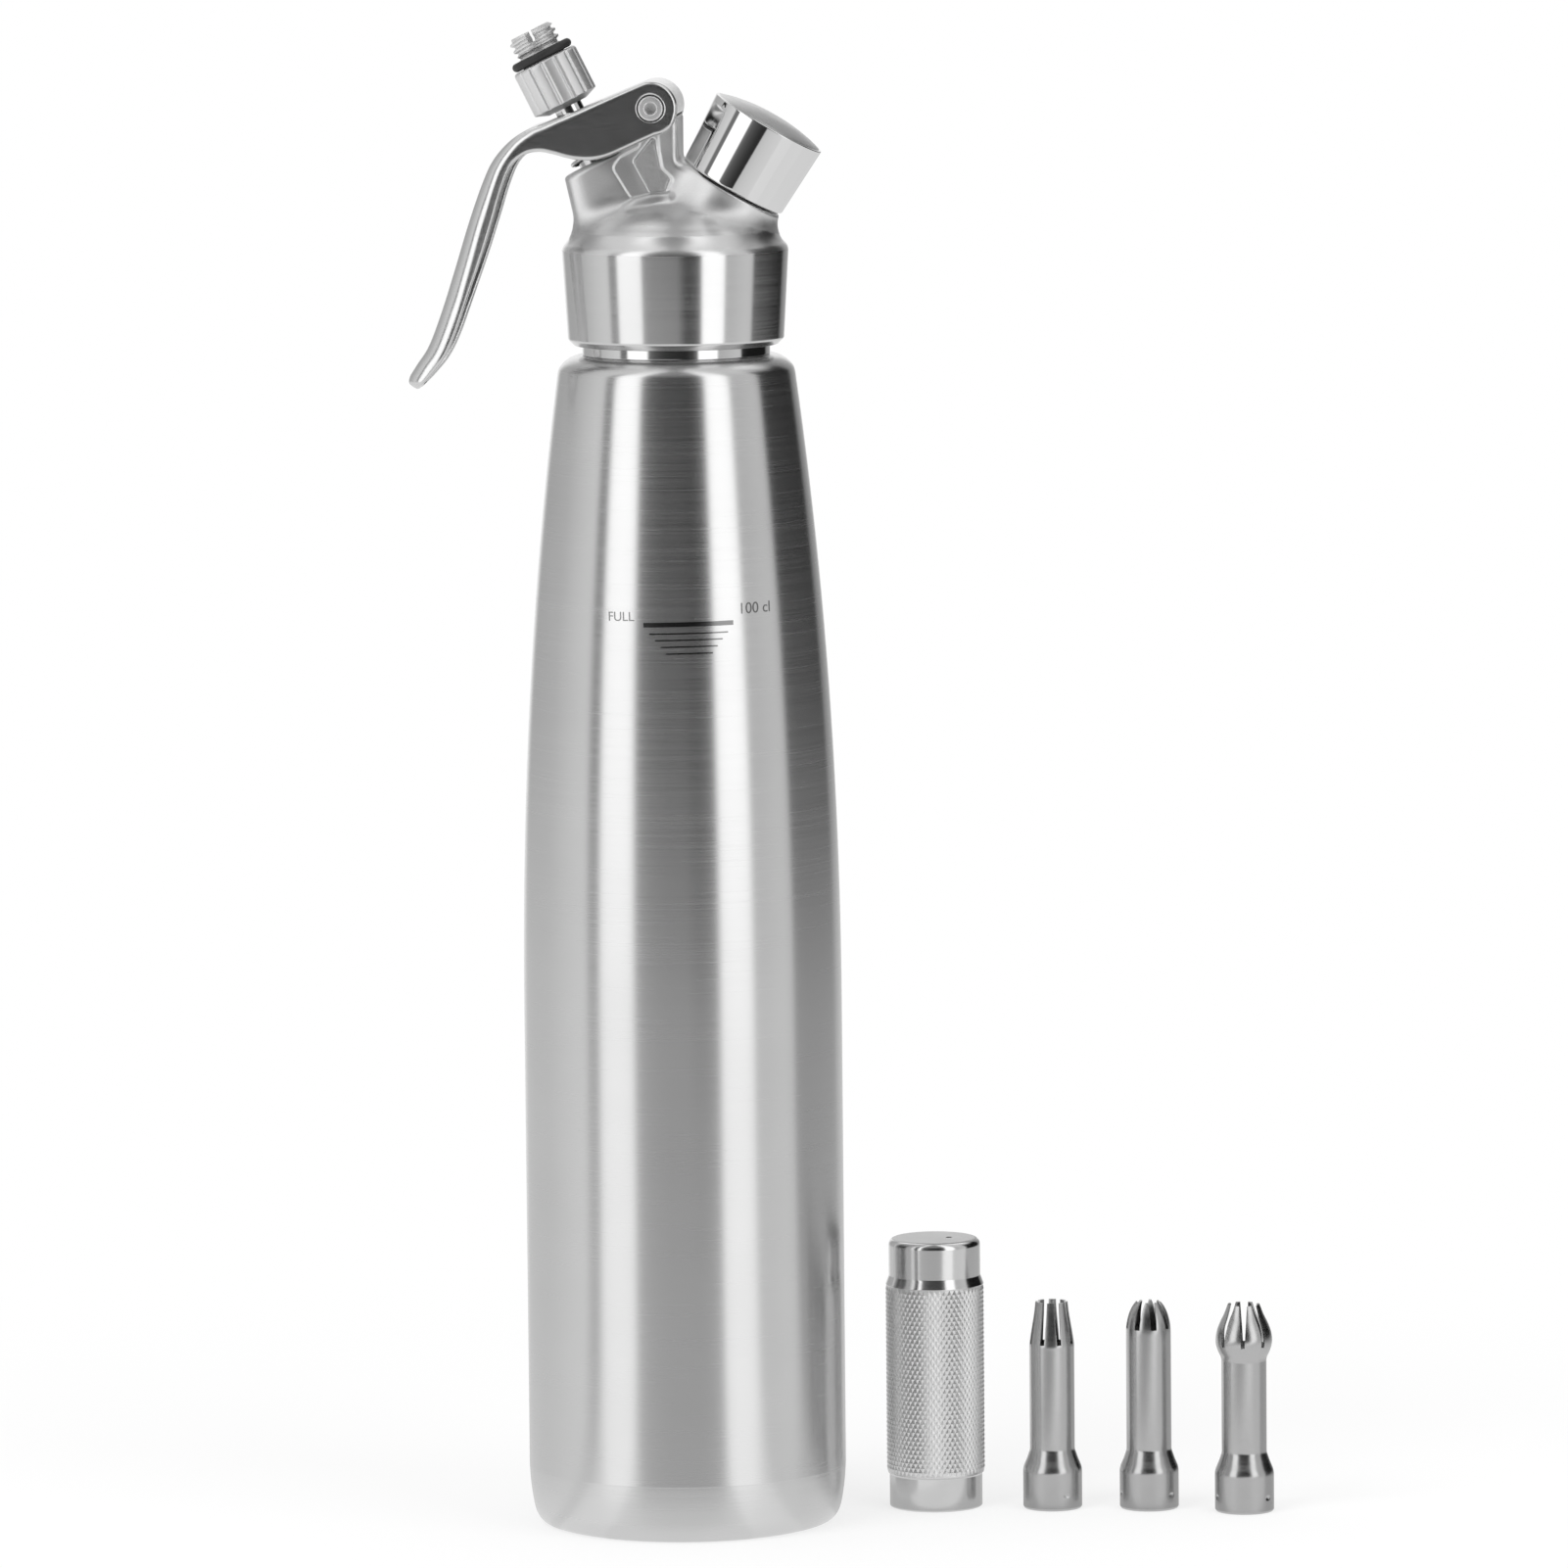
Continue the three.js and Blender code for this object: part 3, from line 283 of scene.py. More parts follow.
def rounded(corners, steps=5, support=0.3):
    """Swaps each corner (across, up, fillet) for an arc that touches both sides. The arc is
    found by turning one radius into the other; corners with no fillet stay sharp."""
    points = []
    for i, (x, z, fillet) in enumerate(corners):
        here = np.array([x, z], float)
        if fillet <= 0 or i in (0, len(corners) - 1):
            points.append(here)
            continue
        to_last = np.array(corners[i - 1][:2]) - here
        to_next = np.array(corners[i + 1][:2]) - here
        room = min(np.linalg.norm(to_last), np.linalg.norm(to_next))
        a, b = to_last / np.linalg.norm(to_last), to_next / np.linalg.norm(to_next)
        half = math.acos(np.clip(a @ b, -1, 1)) / 2
        if half > math.radians(89.5):
            points.append(here)
            continue
        back = min(fillet / math.tan(half), 0.47 * room)
        radius = back * math.tan(half)
        centre = here + (a + b) / np.linalg.norm(a + b) * radius / math.sin(half)
        first, last = here + a * back - centre, here + b * back - centre
        sweep = math.pi - 2 * half
        share = np.linspace(0, 1, steps + 1)[:, None]
        arc = (np.sin((1 - share) * sweep) * first + np.sin(share * sweep) * last) / math.sin(sweep)
        past = min(support, 0.1 * room)
        points += [here + a * (back + past), *(centre + arc), here + b * (back + past)]
    return np.array(points)


def smooth_curve(points, steps=6):
    """A curve through all points: between two of them it is the cubic whose slopes are set
    by their neighbours (Catmull-Rom)."""
    points = np.asarray(points, float)
    ends = np.vstack([2 * points[0] - points[1], points, 2 * points[-1] - points[-2]])
    a, b, c, d = ends[:-3], ends[1:-2], ends[2:-1], ends[3:]
    t = np.linspace(0, 1, steps, endpoint=False)[None, :, None]
    a, b, c, d = (v[:, None, :] for v in (a, b, c, d))
    curve = 0.5 * (2 * b + (c - a) * t + (2 * a - 5 * b + 4 * c - d) * t ** 2
                   + (3 * b - a - 3 * c + d) * t ** 3)
    return np.vstack([curve.reshape(-1, points.shape[1]), points[-1:]])


print("a corner becomes", len(rounded([(0, 0, 0), (1, 0, 0.2), (1, 1, 0)])) - 2, "points")

# %% The lathe
def turned(name, outline, sides=96, loop=False, shape=None, place=None):
    """Each outline point (radius, height) runs round the axis: x = r cos a, y = r sin a.
    shape(angle, radius, height) may change the radius, and place(points) lays the result on
    its own axis. A radius of zero at an end is closed by one point; a loop joins its ends."""
    outline = np.asarray(outline, float)
    angle = np.linspace(0, 2 * np.pi, sides, endpoint=False)[None, :]
    radius, height = outline[:, :1], outline[:, 1:2]
    radius = radius + 0 * angle
    height = height + 0 * angle
    if shape is not None:
        radius = shape(angle + 0 * radius, radius, height)
    grid = np.stack([radius * np.cos(angle), radius * np.sin(angle), height], axis=-1)
    poles = [] if loop else [i for i in (0, len(outline) - 1) if outline[i, 0] < 1e-6]
    rows = len(outline)
    number = np.arange(rows * sides).reshape(rows, sides)
    for i in poles:
        number[i, :] = number[i, 0]
    here = number if loop else number[:-1]
    above = np.roll(number, -1, axis=0) if loop else number[1:]
    quads = np.stack([here, np.roll(here, -1, axis=1), np.roll(above, -1, axis=1), above],
                     axis=-1).reshape(-1, 4)
    low_fan = quads[quads[:, 0] == quads[:, 1]][:, [0, 2, 3]]
    high_fan = quads[quads[:, 2] == quads[:, 3]][:, [0, 1, 2]]
    quads = quads[(quads[:, 0] != quads[:, 1]) & (quads[:, 2] != quads[:, 3])]
    corners = np.concatenate([quads.ravel(), low_fan.ravel(), high_fan.ravel()])
    used, corners = np.unique(corners, return_inverse=True)
    parts = np.split(corners.ravel(), np.cumsum([quads.size, low_fan.size]))
    faces = [parts[0].reshape(-1, 4), parts[1].reshape(-1, 3), parts[2].reshape(-1, 3)]
    points = grid.reshape(-1, 3)[used]
    return make_mesh(name, points if place is None else place(points), faces)


def leaned(points, lean, seat):
    """Turns points about Y by the lean, so that +Z tips towards +X, then moves them."""
    x, y, z = np.asarray(points, float).T
    c, s = math.cos(lean), math.sin(lean)
    return np.stack([x * c + z * s, y, z * c - x * s], axis=1) + np.array(seat)


def thread_shape(root, crest, pitch, start, stop):
    """A screw thread as a change of radius: the height minus the turn's share of the pitch
    gives the place on a ridge, which runs out at both ends of the thread."""
    def shape(angle, radius, height):
        phase = (height / pitch - angle / (2 * np.pi)) % 1.0
        ridge = np.clip(1.6 - 4.2 * np.abs(phase - 0.5), 0, 1)
        ends = np.clip((height - start) / pitch, 0, 1) * np.clip((stop - height) / pitch, 0, 1)
        threaded = np.abs(radius - root) < 1e-3
        return np.where(threaded, root + (crest - root) * ridge * np.minimum(1, 2 * ends), radius)
    return shape


def between(radius, low, high, step):
    """Evenly spaced outline points at one radius, for a thread or a pattern."""
    count = max(2, int(round(abs(high - low) / step)) + 1)
    return np.stack([np.full(count, float(radius)), np.linspace(low, high, count)], axis=1)


print("a thread 10 mm long has", len(between(5, 0, 10, 0.2)), "rows")

# %% The two leaning axes
VALVE_LEAN, VALVE_SEAT = math.radians(-26.5), (-19.8, 0, 344.6)
PORT_LEAN, PORT_SEAT = math.radians(30), (14.35, 0, 337.5)


def on_valve(points):
    """From the valve's own axis, where it stands upright, to its place."""
    return leaned(points, VALVE_LEAN, VALVE_SEAT)


def on_port(points):
    """From the charger port's own axis to its place."""
    return leaned(points, PORT_LEAN, PORT_SEAT)


print("valve and port lean by", round(math.degrees(VALVE_LEAN), 1), round(math.degrees(PORT_LEAN)))

# %% [markdown]
# ## Metals
# The body is drawn stainless steel, brushed round on a lathe with a grit belt. Each scratch runs
# round the body, so light spreads up and down but stays narrow from side to side: the
# shader's anisotropy does this, with its tangent running round the axis. The scratches also
# show as fine uneven lines. Real ones are about 0.05 mm wide, too fine for this distance, so
# they are drawn six times coarser or more. The other metals share the recipe: what changes is
# how rough they are, which tells how they were finished, and how long their lines run.

# %% Brushed and turned metal
def metal(name, colour, roughness, anisotropy, line, length, lean=0.0, seat=(0, 0, 0),
          depth=0.00001, spread=0.03, tint=0.03, strength=0.35):
    """Metal with fine lines round an axis. line and length are the width and the run of a
    scratch in millimetres, depth is its depth in metres. spread is how much the roughness
    varies, tint how much the tone does. Clouds of handling wear are about 20 mm across."""
    material = bpy.data.materials.new(name)
    material.use_nodes = True
    tree = material.node_tree
    shader = tree.nodes["Principled BSDF"]
    shader.inputs["Metallic"].default_value = 1.0
    shader.inputs["Anisotropic"].default_value = anisotropy
    shader.inputs["Anisotropic Rotation"].default_value = 0.25
    place = add(tree, "TexCoord").outputs["Object"]
    centred = add(tree, "Mapping", {"Location": [-v * MM for v in seat]}, {"Vector": place})
    straight = add(tree, "Mapping", {"Rotation": (0, -lean, 0)}, {"Vector": centred.outputs[0]})
    scale = (1000 / length, 1000 / length, 1000 / line)
    stretched = add(tree, "Mapping", {"Scale": scale}, {"Vector": straight.outputs[0]})
    scratches = add(tree, "TexNoise", {"Scale": 1.0, "Detail": 4.0, "Roughness": 0.65},
                    {"Vector": stretched.outputs[0]})
    cloud = add(tree, "TexNoise", {"Scale": 45.0, "Detail": 2.0}, {"Vector": place})
    rough = add(tree, "MapRange", {"To Min": roughness - spread, "To Max": roughness + spread,
                                   "From Min": 0.3, "From Max": 0.7},
                {"Value": scratches.outputs["Fac"]})
    tree.links.new(rough.outputs["Result"], shader.inputs["Roughness"])
    light = np.array(linear(colour))
    pale = add(tree, "MixRGB", {"Color1": (*(light[:3] * (1 - tint)), 1),
                                "Color2": (*np.minimum(light[:3] * (1 + tint), 1), 1)},
               {"Fac": scratches.outputs["Fac"]})
    aged = add(tree, "MixRGB", {"Color2": (*(light[:3] * 0.93), 1)},
               {"Color1": pale.outputs["Color"], "Fac": cloud.outputs["Fac"]})
    tree.links.new(aged.outputs["Color"], shader.inputs["Base Color"])
    bump = add(tree, "Bump", {"Strength": strength, "Distance": depth},
               {"Height": scratches.outputs["Fac"]})
    tree.links.new(bump.outputs["Normal"], shader.inputs["Normal"])
    if anisotropy > 0 and lean == 0.0:
        tangent = add(tree, "Tangent", direction_type="RADIAL", axis="Z")
        tree.links.new(tangent.outputs[0], shader.inputs["Tangent"])
    return material


# Belt-brushed sheet: soft upright bands, and faint lines that run round the body
brushed_stainless = metal("brushed_stainless_steel", "#dedede", 0.25, 0.8, 0.3, 60, strength=0.03,
                          spread=0.03, tint=0.05)
# Fine turning on the collar: the same bands, with clearer edges
turned_stainless = metal("turned_stainless_steel", "#dedede", 0.18, 0.7, 0.3, 45, strength=0.05,
                         tint=0.05)
# The dome was turned and then blasted: wide soft lights
turned_dome = metal("satin_turned_steel", "#ebebeb", 0.30, 0.8, 1.2, 45, strength=0.03, tint=0.03)
# A laser darkens the steel without adding to it: a third as bright, with the steel's own gloss
laser_mark = metal("laser_darkened_steel", "#868686", 0.16, 0.0, 0.3, 6, depth=0.000004)
# Polished on a wheel: almost a clear mirror
polished_stainless = metal("polished_stainless_steel", "#e2e2e2", 0.10, 0.0, 0.4, 4,
                           depth=0.000004, spread=0.02, tint=0.02)
# Folded sheet, polished less: its flats look one even grey, its bends carry soft lines of light
satin_polished = metal("satin_polished_steel", "#e2e2e2", 0.21, 0.0, 0.4, 4, depth=0.000004,
                       tint=0.02)
# Bright plating on the cap's side, and satin plating on its crown
chrome = metal("chrome_plated_brass", "#e6e6e6", 0.035, 0.0, 0.6, 6,
               depth=0.000002, spread=0.01, tint=0.01)
chrome_crown = metal("satin_chrome_crown", "#dcdcdc", 0.30, 0.0, 0.4, 6,
                     lean=PORT_LEAN, seat=PORT_SEAT, spread=0.04)
# Turned and then blasted: pale, nearly dull
turned_adapter = metal("turned_steel_adapter", "#ececec", 0.48, 0.0, 0.5, 8,
                       lean=VALVE_LEAN, seat=VALVE_SEAT, depth=0.000004)
# Aluminium: fine turning, a duller end face, and the knurl's pressed skin, which glitters
turned_aluminium = metal("turned_aluminium", "#e0e0e0", 0.16, 0.3, 0.35, 14)
faced_aluminium = metal("faced_aluminium", "#cfcfcf", 0.42, 0.0, 0.35, 14)
rolled_aluminium = metal("rolled_knurl_aluminium", "#f0f0f0", 0.42, 0.0, 2.0, 2)
# Plain turned brass, yellow and a little rough
yellow_brass = metal("turned_brass", "#c8a45c", 0.25, 0.0, 0.4, 6)
# Drawn tube: greyer, with a soft shine
drawn_stainless = metal("drawn_stainless_tube", "#c6c6c6", 0.24, 0.0, 0.4, 5)
print("materials so far:", len(bpy.data.materials))

# %% [markdown]
# ## Cast steel
# The head is a stainless casting, tumbled and then given a satin finish by hand. Its
# surface has no direction: it shows soft clouds about 8 mm across and a very fine grain. In
# the pocket of the cast relief the skin of the mould is left, with bumps of a millimetre.

# %% Cast satin steel
def cast_steel(name, colour, roughness, grain, strength, depth=0.00004):
    """Metal with a grain of one size, in millimetres, in every direction; roughness drifts
    over the part. depth is that of the grain, in metres."""
    material = bpy.data.materials.new(name)
    material.use_nodes = True
    tree = material.node_tree
    shader = tree.nodes["Principled BSDF"]
    shader.inputs["Metallic"].default_value = 1.0
    place = add(tree, "TexCoord").outputs["Object"]
    fine = add(tree, "TexNoise", {"Scale": 1000 / grain, "Detail": 3.0}, {"Vector": place})
    broad = add(tree, "TexNoise", {"Scale": 120.0, "Detail": 2.0}, {"Vector": place})
    rough = add(tree, "MapRange", {"To Min": roughness - 0.05, "To Max": roughness + 0.06,
                                   "From Min": 0.3, "From Max": 0.7},
                {"Value": broad.outputs["Fac"]})
    tree.links.new(rough.outputs["Result"], shader.inputs["Roughness"])
    light = np.array(linear(colour))
    tone = add(tree, "MixRGB", {"Color1": (*(light[:3] * 0.92), 1),
                                "Color2": (*np.minimum(light[:3] * 1.04, 1), 1)},
               {"Fac": fine.outputs["Fac"]})
    tree.links.new(tone.outputs["Color"], shader.inputs["Base Color"])
    bump = add(tree, "Bump", {"Strength": strength, "Distance": depth},
               {"Height": fine.outputs["Fac"]})
    tree.links.new(bump.outputs["Normal"], shader.inputs["Normal"])
    return material


satin_casting = cast_steel("satin_cast_steel", "#e6e6e6", 0.42, 0.35, 0.08)
rough_casting = cast_steel("rough_cast_steel", "#c8c8c8", 0.50, 1.1, 0.8, depth=0.0002)
print("casting:", satin_casting.name, rough_casting.name)

# %% [markdown]
# ## Rubber
# O-rings are black nitrile rubber, moulded, with a dull skin that dust and handling make
# uneven. The gasket under the head is pale silicone, moulded too, and shines a little more.

# %% Nitrile rubber and silicone
def soft_stuff(name, colour, roughness, grain):
    """A moulded skin: two near tones and a shallow grain, whose size is in millimetres."""
    material = bpy.data.materials.new(name)
    material.use_nodes = True
    tree = material.node_tree
    shader = tree.nodes["Principled BSDF"]
    shader.inputs["Metallic"].default_value = 0.0
    shader.inputs["IOR"].default_value = 1.5
    place = add(tree, "TexCoord").outputs["Object"]
    skin = add(tree, "TexNoise", {"Scale": 1000 / grain, "Detail": 3.0}, {"Vector": place})
    light = np.array(linear(colour))
    tone = add(tree, "MixRGB", {"Color1": (*(light[:3] * 0.8), 1),
                                "Color2": (*np.minimum(light[:3] * 1.25, 1), 1)},
               {"Fac": skin.outputs["Fac"]})
    tree.links.new(tone.outputs["Color"], shader.inputs["Base Color"])
    rough = add(tree, "MapRange", {"To Min": roughness - 0.1, "To Max": roughness + 0.1},
                {"Value": skin.outputs["Fac"]})
    tree.links.new(rough.outputs["Result"], shader.inputs["Roughness"])
    bump = add(tree, "Bump", {"Strength": 0.2, "Distance": 0.00004},
               {"Height": skin.outputs["Fac"]})
    tree.links.new(bump.outputs["Normal"], shader.inputs["Normal"])
    return material


nitrile_rubber = soft_stuff("black_nitrile_rubber", "#232323", 0.55, 0.6)
silicone = soft_stuff("pale_silicone_rubber", "#dcdcd6", 0.5, 0.8)
print("materials:", len(bpy.data.materials))

# %% [markdown]
# ## The floor
# A white table with a soft shadow. To the camera it is almost pure white light, mixed near the
# object with a little true white surface, which holds the shadow. To a mirror it is a pale
# table as far as its rim, which is nearer on the right, and beyond the rim the studio's bands.
# To a mirror the table is emission, and at a flat angle a Fresnel share adds the bands to it as a painted
# reflection.

# %% Floor
# Metres from the object to the rim of the table, by degrees round the object
TABLE_EDGE = [(-180, 1.6), (-13, 1.6), (2, 1.5), (7, 1.2), (12, 0.95), (46, 0.95), (57, 1.35),
              (75, 1.6), (180, 1.6)]
RIM_SOFTNESS, TABLE_GREY, TABLE_IOR = 0.07, 0.84, 1.35
# The shadow's surface fades out between these two distances in metres
SHADOW_NEAR, SHADOW_FAR, SHADOW_SHARE = 0.16, 0.42, 0.30


def floor_material():
    """Two looks in one: what the camera sees, and what a mirror sees, which is emission with a painted
    reflection of the bands.
    """
    material = bpy.data.materials.new("white_table")
    material.use_nodes = True
    tree = material.node_tree
    tree.nodes.clear()
    place = add(tree, "NewGeometry").outputs["Position"]
    parts = add(tree, "SeparateXYZ", links={0: place})
    towards = towards_camera(tree, parts.outputs["Y"])
    bands = compass_level(tree, parts.outputs["X"], towards, STUDIO_BANDS)
    edge = compass_level(tree, parts.outputs["X"], towards, TABLE_EDGE)
    across = add(tree, "CombineXYZ", links={0: parts.outputs["X"], 1: parts.outputs["Y"]})
    away = add(tree, "VectorMath", links={0: across.outputs[0]}, operation="LENGTH")
    beyond = add(tree, "Math", links={0: away.outputs["Value"], 1: edge}, operation="SUBTRACT")
    pale = add(tree, "MapRange", {"From Min": -RIM_SOFTNESS, "From Max": RIM_SOFTNESS,
                                  "To Min": 1.0, "To Max": 0.0}, {"Value": beyond.outputs[0]})
    # Painted reflection: a Fresnel share of emitted colour shows the bands at flat angles, as a glossy table
    # would mirror them.
    gloss = add(tree, "Fresnel", {"IOR": TABLE_IOR})
    matt_share = add(tree, "Math", {0: 1.0}, {1: gloss.outputs[0]}, operation="SUBTRACT")
    share = add(tree, "Math", links={0: pale.outputs["Result"], 1: matt_share.outputs[0]},
                operation="MULTIPLY")
    painted_table_reflection = add(tree, "MixRGB", {"Color2": grey(TABLE_GREY)},
                {"Fac": share.outputs[0], "Color1": bands})
    mirrored = add(tree, "Emission", {"Strength": 1.0}, {"Color": painted_table_reflection.outputs["Color"]})
    white = add(tree, "Emission", {"Color": grey(1.0), "Strength": 1.0})
    matt = add(tree, "BsdfDiffuse", {"Color": grey(0.93)})
    near = add(tree, "MapRange", {"From Min": SHADOW_NEAR, "From Max": SHADOW_FAR,
                                  "To Min": SHADOW_SHARE, "To Max": 0.0},
               {"Value": away.outputs["Value"]}, interpolation_type="SMOOTHSTEP")
    shown = add(tree, "MixShader", links={0: near.outputs["Result"], 1: white.outputs[0],
                                          2: matt.outputs[0]})
    ray = add(tree, "LightPath")
    final = add(tree, "MixShader", links={0: ray.outputs["Is Glossy Ray"], 1: shown.outputs[0],
                                          2: mirrored.outputs[0]})
    add(tree, "OutputMaterial", links={"Surface": final.outputs[0]})
    return material


def make_floor(radius=3300.0, sides=96):
    """A flat disc, a hair below the object's foot."""
    angle = np.linspace(0, 2 * np.pi, sides, endpoint=False)
    edge = np.stack([radius * np.cos(angle), radius * np.sin(angle), 0 * angle - 0.02], axis=1)
    points = np.vstack([[[0, 0, -0.02]], edge])
    first = np.arange(1, sides + 1)
    fan = np.stack([np.zeros(sides, int), first, np.roll(first, -1)], axis=1)
    mesh = make_mesh("floor", points, [fan])
    mesh.flip_normals()
    mesh.materials.append(floor_material())
    floor = bpy.data.objects.new("floor", mesh)
    bpy.context.scene.collection.objects.link(floor)


make_floor()
print("floor:", len(TABLE_EDGE), "points of the table's rim")


# %% Lamps
def make_lamp(name, place, size, power):
    """A soft box: a square area lamp that looks at the object. Mirrors see the studio bands
    instead, so its own reflection is left out."""
    data = bpy.data.lights.new(name, "AREA")
    data.shape, data.size, data.energy = "SQUARE", size, power
    lamp = bpy.data.objects.new(name, data)
    bpy.context.scene.collection.objects.link(lamp)
    away = np.array(place) / 1000 - np.array([0.03, 0, 0.15])
    lamp.location = np.array(place) / 1000
    lamp.rotation_mode = "QUATERNION"
    lamp.rotation_quaternion = Vector(away).to_track_quat("Z", "Y")
    lamp.visible_glossy = False


make_lamp("key_soft_box", (-900, -1200, 1500), 1.0, 14)
make_lamp("fill_soft_box", (1100, -900, 1100), 1.0, 7)
print("lamps:", len(bpy.data.lights))

# %% [markdown]
# ## The bottle
# One litre, drawn from sheet: straight below, then it draws in by a power law of the height up
# to a tight shoulder. The lower part is a cup welded on, and the weld shows as a faint line.
# Both are turned from their measured outline, with the inner wall 1.5 mm inside.

# %% Bottle outline
BODY_RADIUS, WALL = 40.1, 1.5
TAPER_START, TAPER_TOP, SHOULDER_RADIUS, BODY_TOP = 130.0, 291.4, 29.87, 296.0
TAPER_POWER = 2.1
NECK_RADIUS, NECK_BORE = 23.6, 19.5
SEAM = 14.5


def wall_radius(height):
    """Radius of the outside: constant, less a power of the share of the taper."""
    share = np.clip((np.asarray(height, float) - TAPER_START) / (TAPER_TOP - TAPER_START), 0, 1)
    return BODY_RADIUS - (BODY_RADIUS - SHOULDER_RADIUS) * share ** TAPER_POWER


heights = np.concatenate([np.linspace(SEAM + 0.3, TAPER_START, 24),
                          np.linspace(TAPER_START + 3, TAPER_TOP, 48)])
flank = np.stack([wall_radius(heights), heights], axis=1)
shoulder = smooth_curve([(SHOULDER_RADIUS, TAPER_TOP), (29.45, 292.8), (28.4, 294.1), (26.7, 295.3),
                         (25.0, 295.9), (NECK_RADIUS, BODY_TOP)], 5)[1:]
seam_edge = [(BODY_RADIUS - WALL, SEAM), (BODY_RADIUS - 0.01, SEAM), (BODY_RADIUS, SEAM + 0.05)]
inside = np.stack([wall_radius(heights[::-1]) - WALL, heights[::-1]], axis=1)
mouth = [(NECK_RADIUS - WALL, BODY_TOP), (24.3, BODY_TOP - 2.6), (27.6, BODY_TOP - 4.6)]
body_outline = np.vstack([seam_edge, flank, shoulder, mouth, inside])
place_piece("bottle_body_skin", turned("bottle_body_skin", body_outline, 160, loop=True),
            brushed_stainless, "bottle", ["bottle_body"])
print("bottle outline points:", len(body_outline))

# %% Base cup
cup_outside = smooth_curve([(BODY_RADIUS, SEAM), (40.02, 13), (39.78, 10), (39.40, 7), (38.85, 4),
                            (38.1, 2), (36.9, 0.6), (35.2, 0)], 5)[::-1]
cup_inside = rounded([(BODY_RADIUS - WALL, SEAM, 0), (BODY_RADIUS - WALL, WALL, 6.5), (0, WALL, 0)], 12)
cup_foot = rounded([(0, 0.5, 0), (30.5, 0.5, 0.6), (31.3, 0, 0.5), (35.2, 0, 0)])
cup_outline = np.vstack([cup_foot[:-1], cup_outside, cup_inside])
place_piece("base_cup_skin", turned("base_cup_skin", cup_outline, 160), brushed_stainless, "bottle",
            ["base_cup"])
print("base cup outline points:", len(cup_outline))

# %% [markdown]
# ## The neck
# The neck carries the coarse thread for the head. Only the polished band below the thread
# is seen while the head is on, and the thread shows as the head is screwed off.

# %% Neck with its thread
NECK_TOP, THREAD_ROOT, THREAD_PITCH = 318.3, 22.4, 4.0
THREAD_LOW, THREAD_HIGH = 302.4, 317.4
neck_outline = np.vstack([
    rounded([(NECK_BORE, NECK_TOP - 8, 0), (NECK_BORE, BODY_TOP, 0.3), (NECK_RADIUS, BODY_TOP, 0.3),
             (NECK_RADIUS, 301, 0.5), (THREAD_ROOT, 302.2, 0)]),
    between(THREAD_ROOT, THREAD_LOW, THREAD_HIGH, 0.35),
    rounded([(THREAD_ROOT, 317.6, 0), (THREAD_ROOT, NECK_TOP, 0.6), (NECK_BORE, NECK_TOP, 0.6),
             (NECK_BORE, NECK_TOP - 7.9, 0)])])
neck_thread = thread_shape(THREAD_ROOT, NECK_RADIUS, THREAD_PITCH, THREAD_LOW, THREAD_HIGH)
place_piece("neck_ring", turned("neck_ring", neck_outline, 120, loop=True, shape=neck_thread),
            polished_stainless, "bottle", ["neck_thread_ring"])
print("turns of thread on the neck:", round((THREAD_HIGH - THREAD_LOW) / THREAD_PITCH, 1))

# %% Gasket under the head
gasket_outline = rounded([(NECK_BORE, 319.4, 0), (NECK_BORE, 318.6, 0.4), (NECK_RADIUS, 318.6, 0.4),
                          (NECK_RADIUS, 320.3, 0.4), (NECK_BORE, 320.3, 0.4), (NECK_BORE, 319.5, 0)])
place_piece("head_gasket_ring", turned("head_gasket_ring", gasket_outline, 96, loop=True),
            silicone, "gasket", ["head_gasket"])
print("gasket thickness in millimetres:", round(320.3 - 318.6, 1))

# %% [markdown]
# ## The fill mark
# A thick bar and four thinner, shorter lines below it, marked on the front of the bottle by
# a laser, with a plain word for full and the contents in centilitres. A thin slab stands for
# each mark, and follows the wall: a point keeps its height, and its distance from the middle
# becomes an angle.

# %% Wrapping a mark round the bottle
MARK_TURN = math.radians(-90 + 8.8)
MARK_TILT = math.radians(-0.8)
MARK_HEIGHT = 231.3


def wrapped(flat, lift):
    """flat is (across, up) in millimetres round the mark's centre. The angle is the distance
    divided by the wall's radius, and the wall's outline gives the radius."""
    across, up = np.asarray(flat, float).T
    c, s = math.cos(MARK_TILT), math.sin(MARK_TILT)
    across, up = across * c + up * s, up * c - across * s
    height = up + MARK_HEIGHT
    radius = wall_radius(height)
    angle = MARK_TURN + across / radius
    return np.stack([(radius + lift) * np.cos(angle), (radius + lift) * np.sin(angle), height], 1)


print("wall radius at the mark:", round(float(wall_radius(MARK_HEIGHT)), 2))


# %% Bar and lines
# Half the length of each line and how far it lies below the bar, in millimetres
MARK_LINES = [(9.95, 2.25), (8.5, 3.87), (7.15, 5.55), (5.9, 7.24)]
BAR_HALF, BAR_THICKNESS, LINE_THICKNESS = 11.4, 1.15, 0.35


def marked_bar(name, half, middle, thickness):
    """A bar as a closed slab 0.04 mm thick, fine enough to follow the wall."""
    columns, rows = 24, 3
    u = np.linspace(-half, half, columns)
    v = np.linspace(middle - thickness / 2, middle + thickness / 2, rows)
    flat = np.stack(np.meshgrid(u, v, indexing="ij"), -1).reshape(-1, 2)
    points = np.vstack([wrapped(flat, 0.05), wrapped(flat, 0.01)])
    number = np.arange(columns * rows).reshape(columns, rows)
    top = np.stack([number[:-1, :-1], number[1:, :-1], number[1:, 1:], number[:-1, 1:]], -1)
    top = top.reshape(-1, 4)
    under = top[:, ::-1] + columns * rows
    rim = np.concatenate([number[:, 0], number[-1, 1:], number[-2::-1, -1], number[0, -2:0:-1]])
    after = np.roll(rim, -1)
    sides = np.stack([rim + columns * rows, after + columns * rows, after, rim], 1)
    mesh = make_mesh(name, points, [np.vstack([top, under, sides])])
    return place_piece(name, mesh, laser_mark, "bottle")


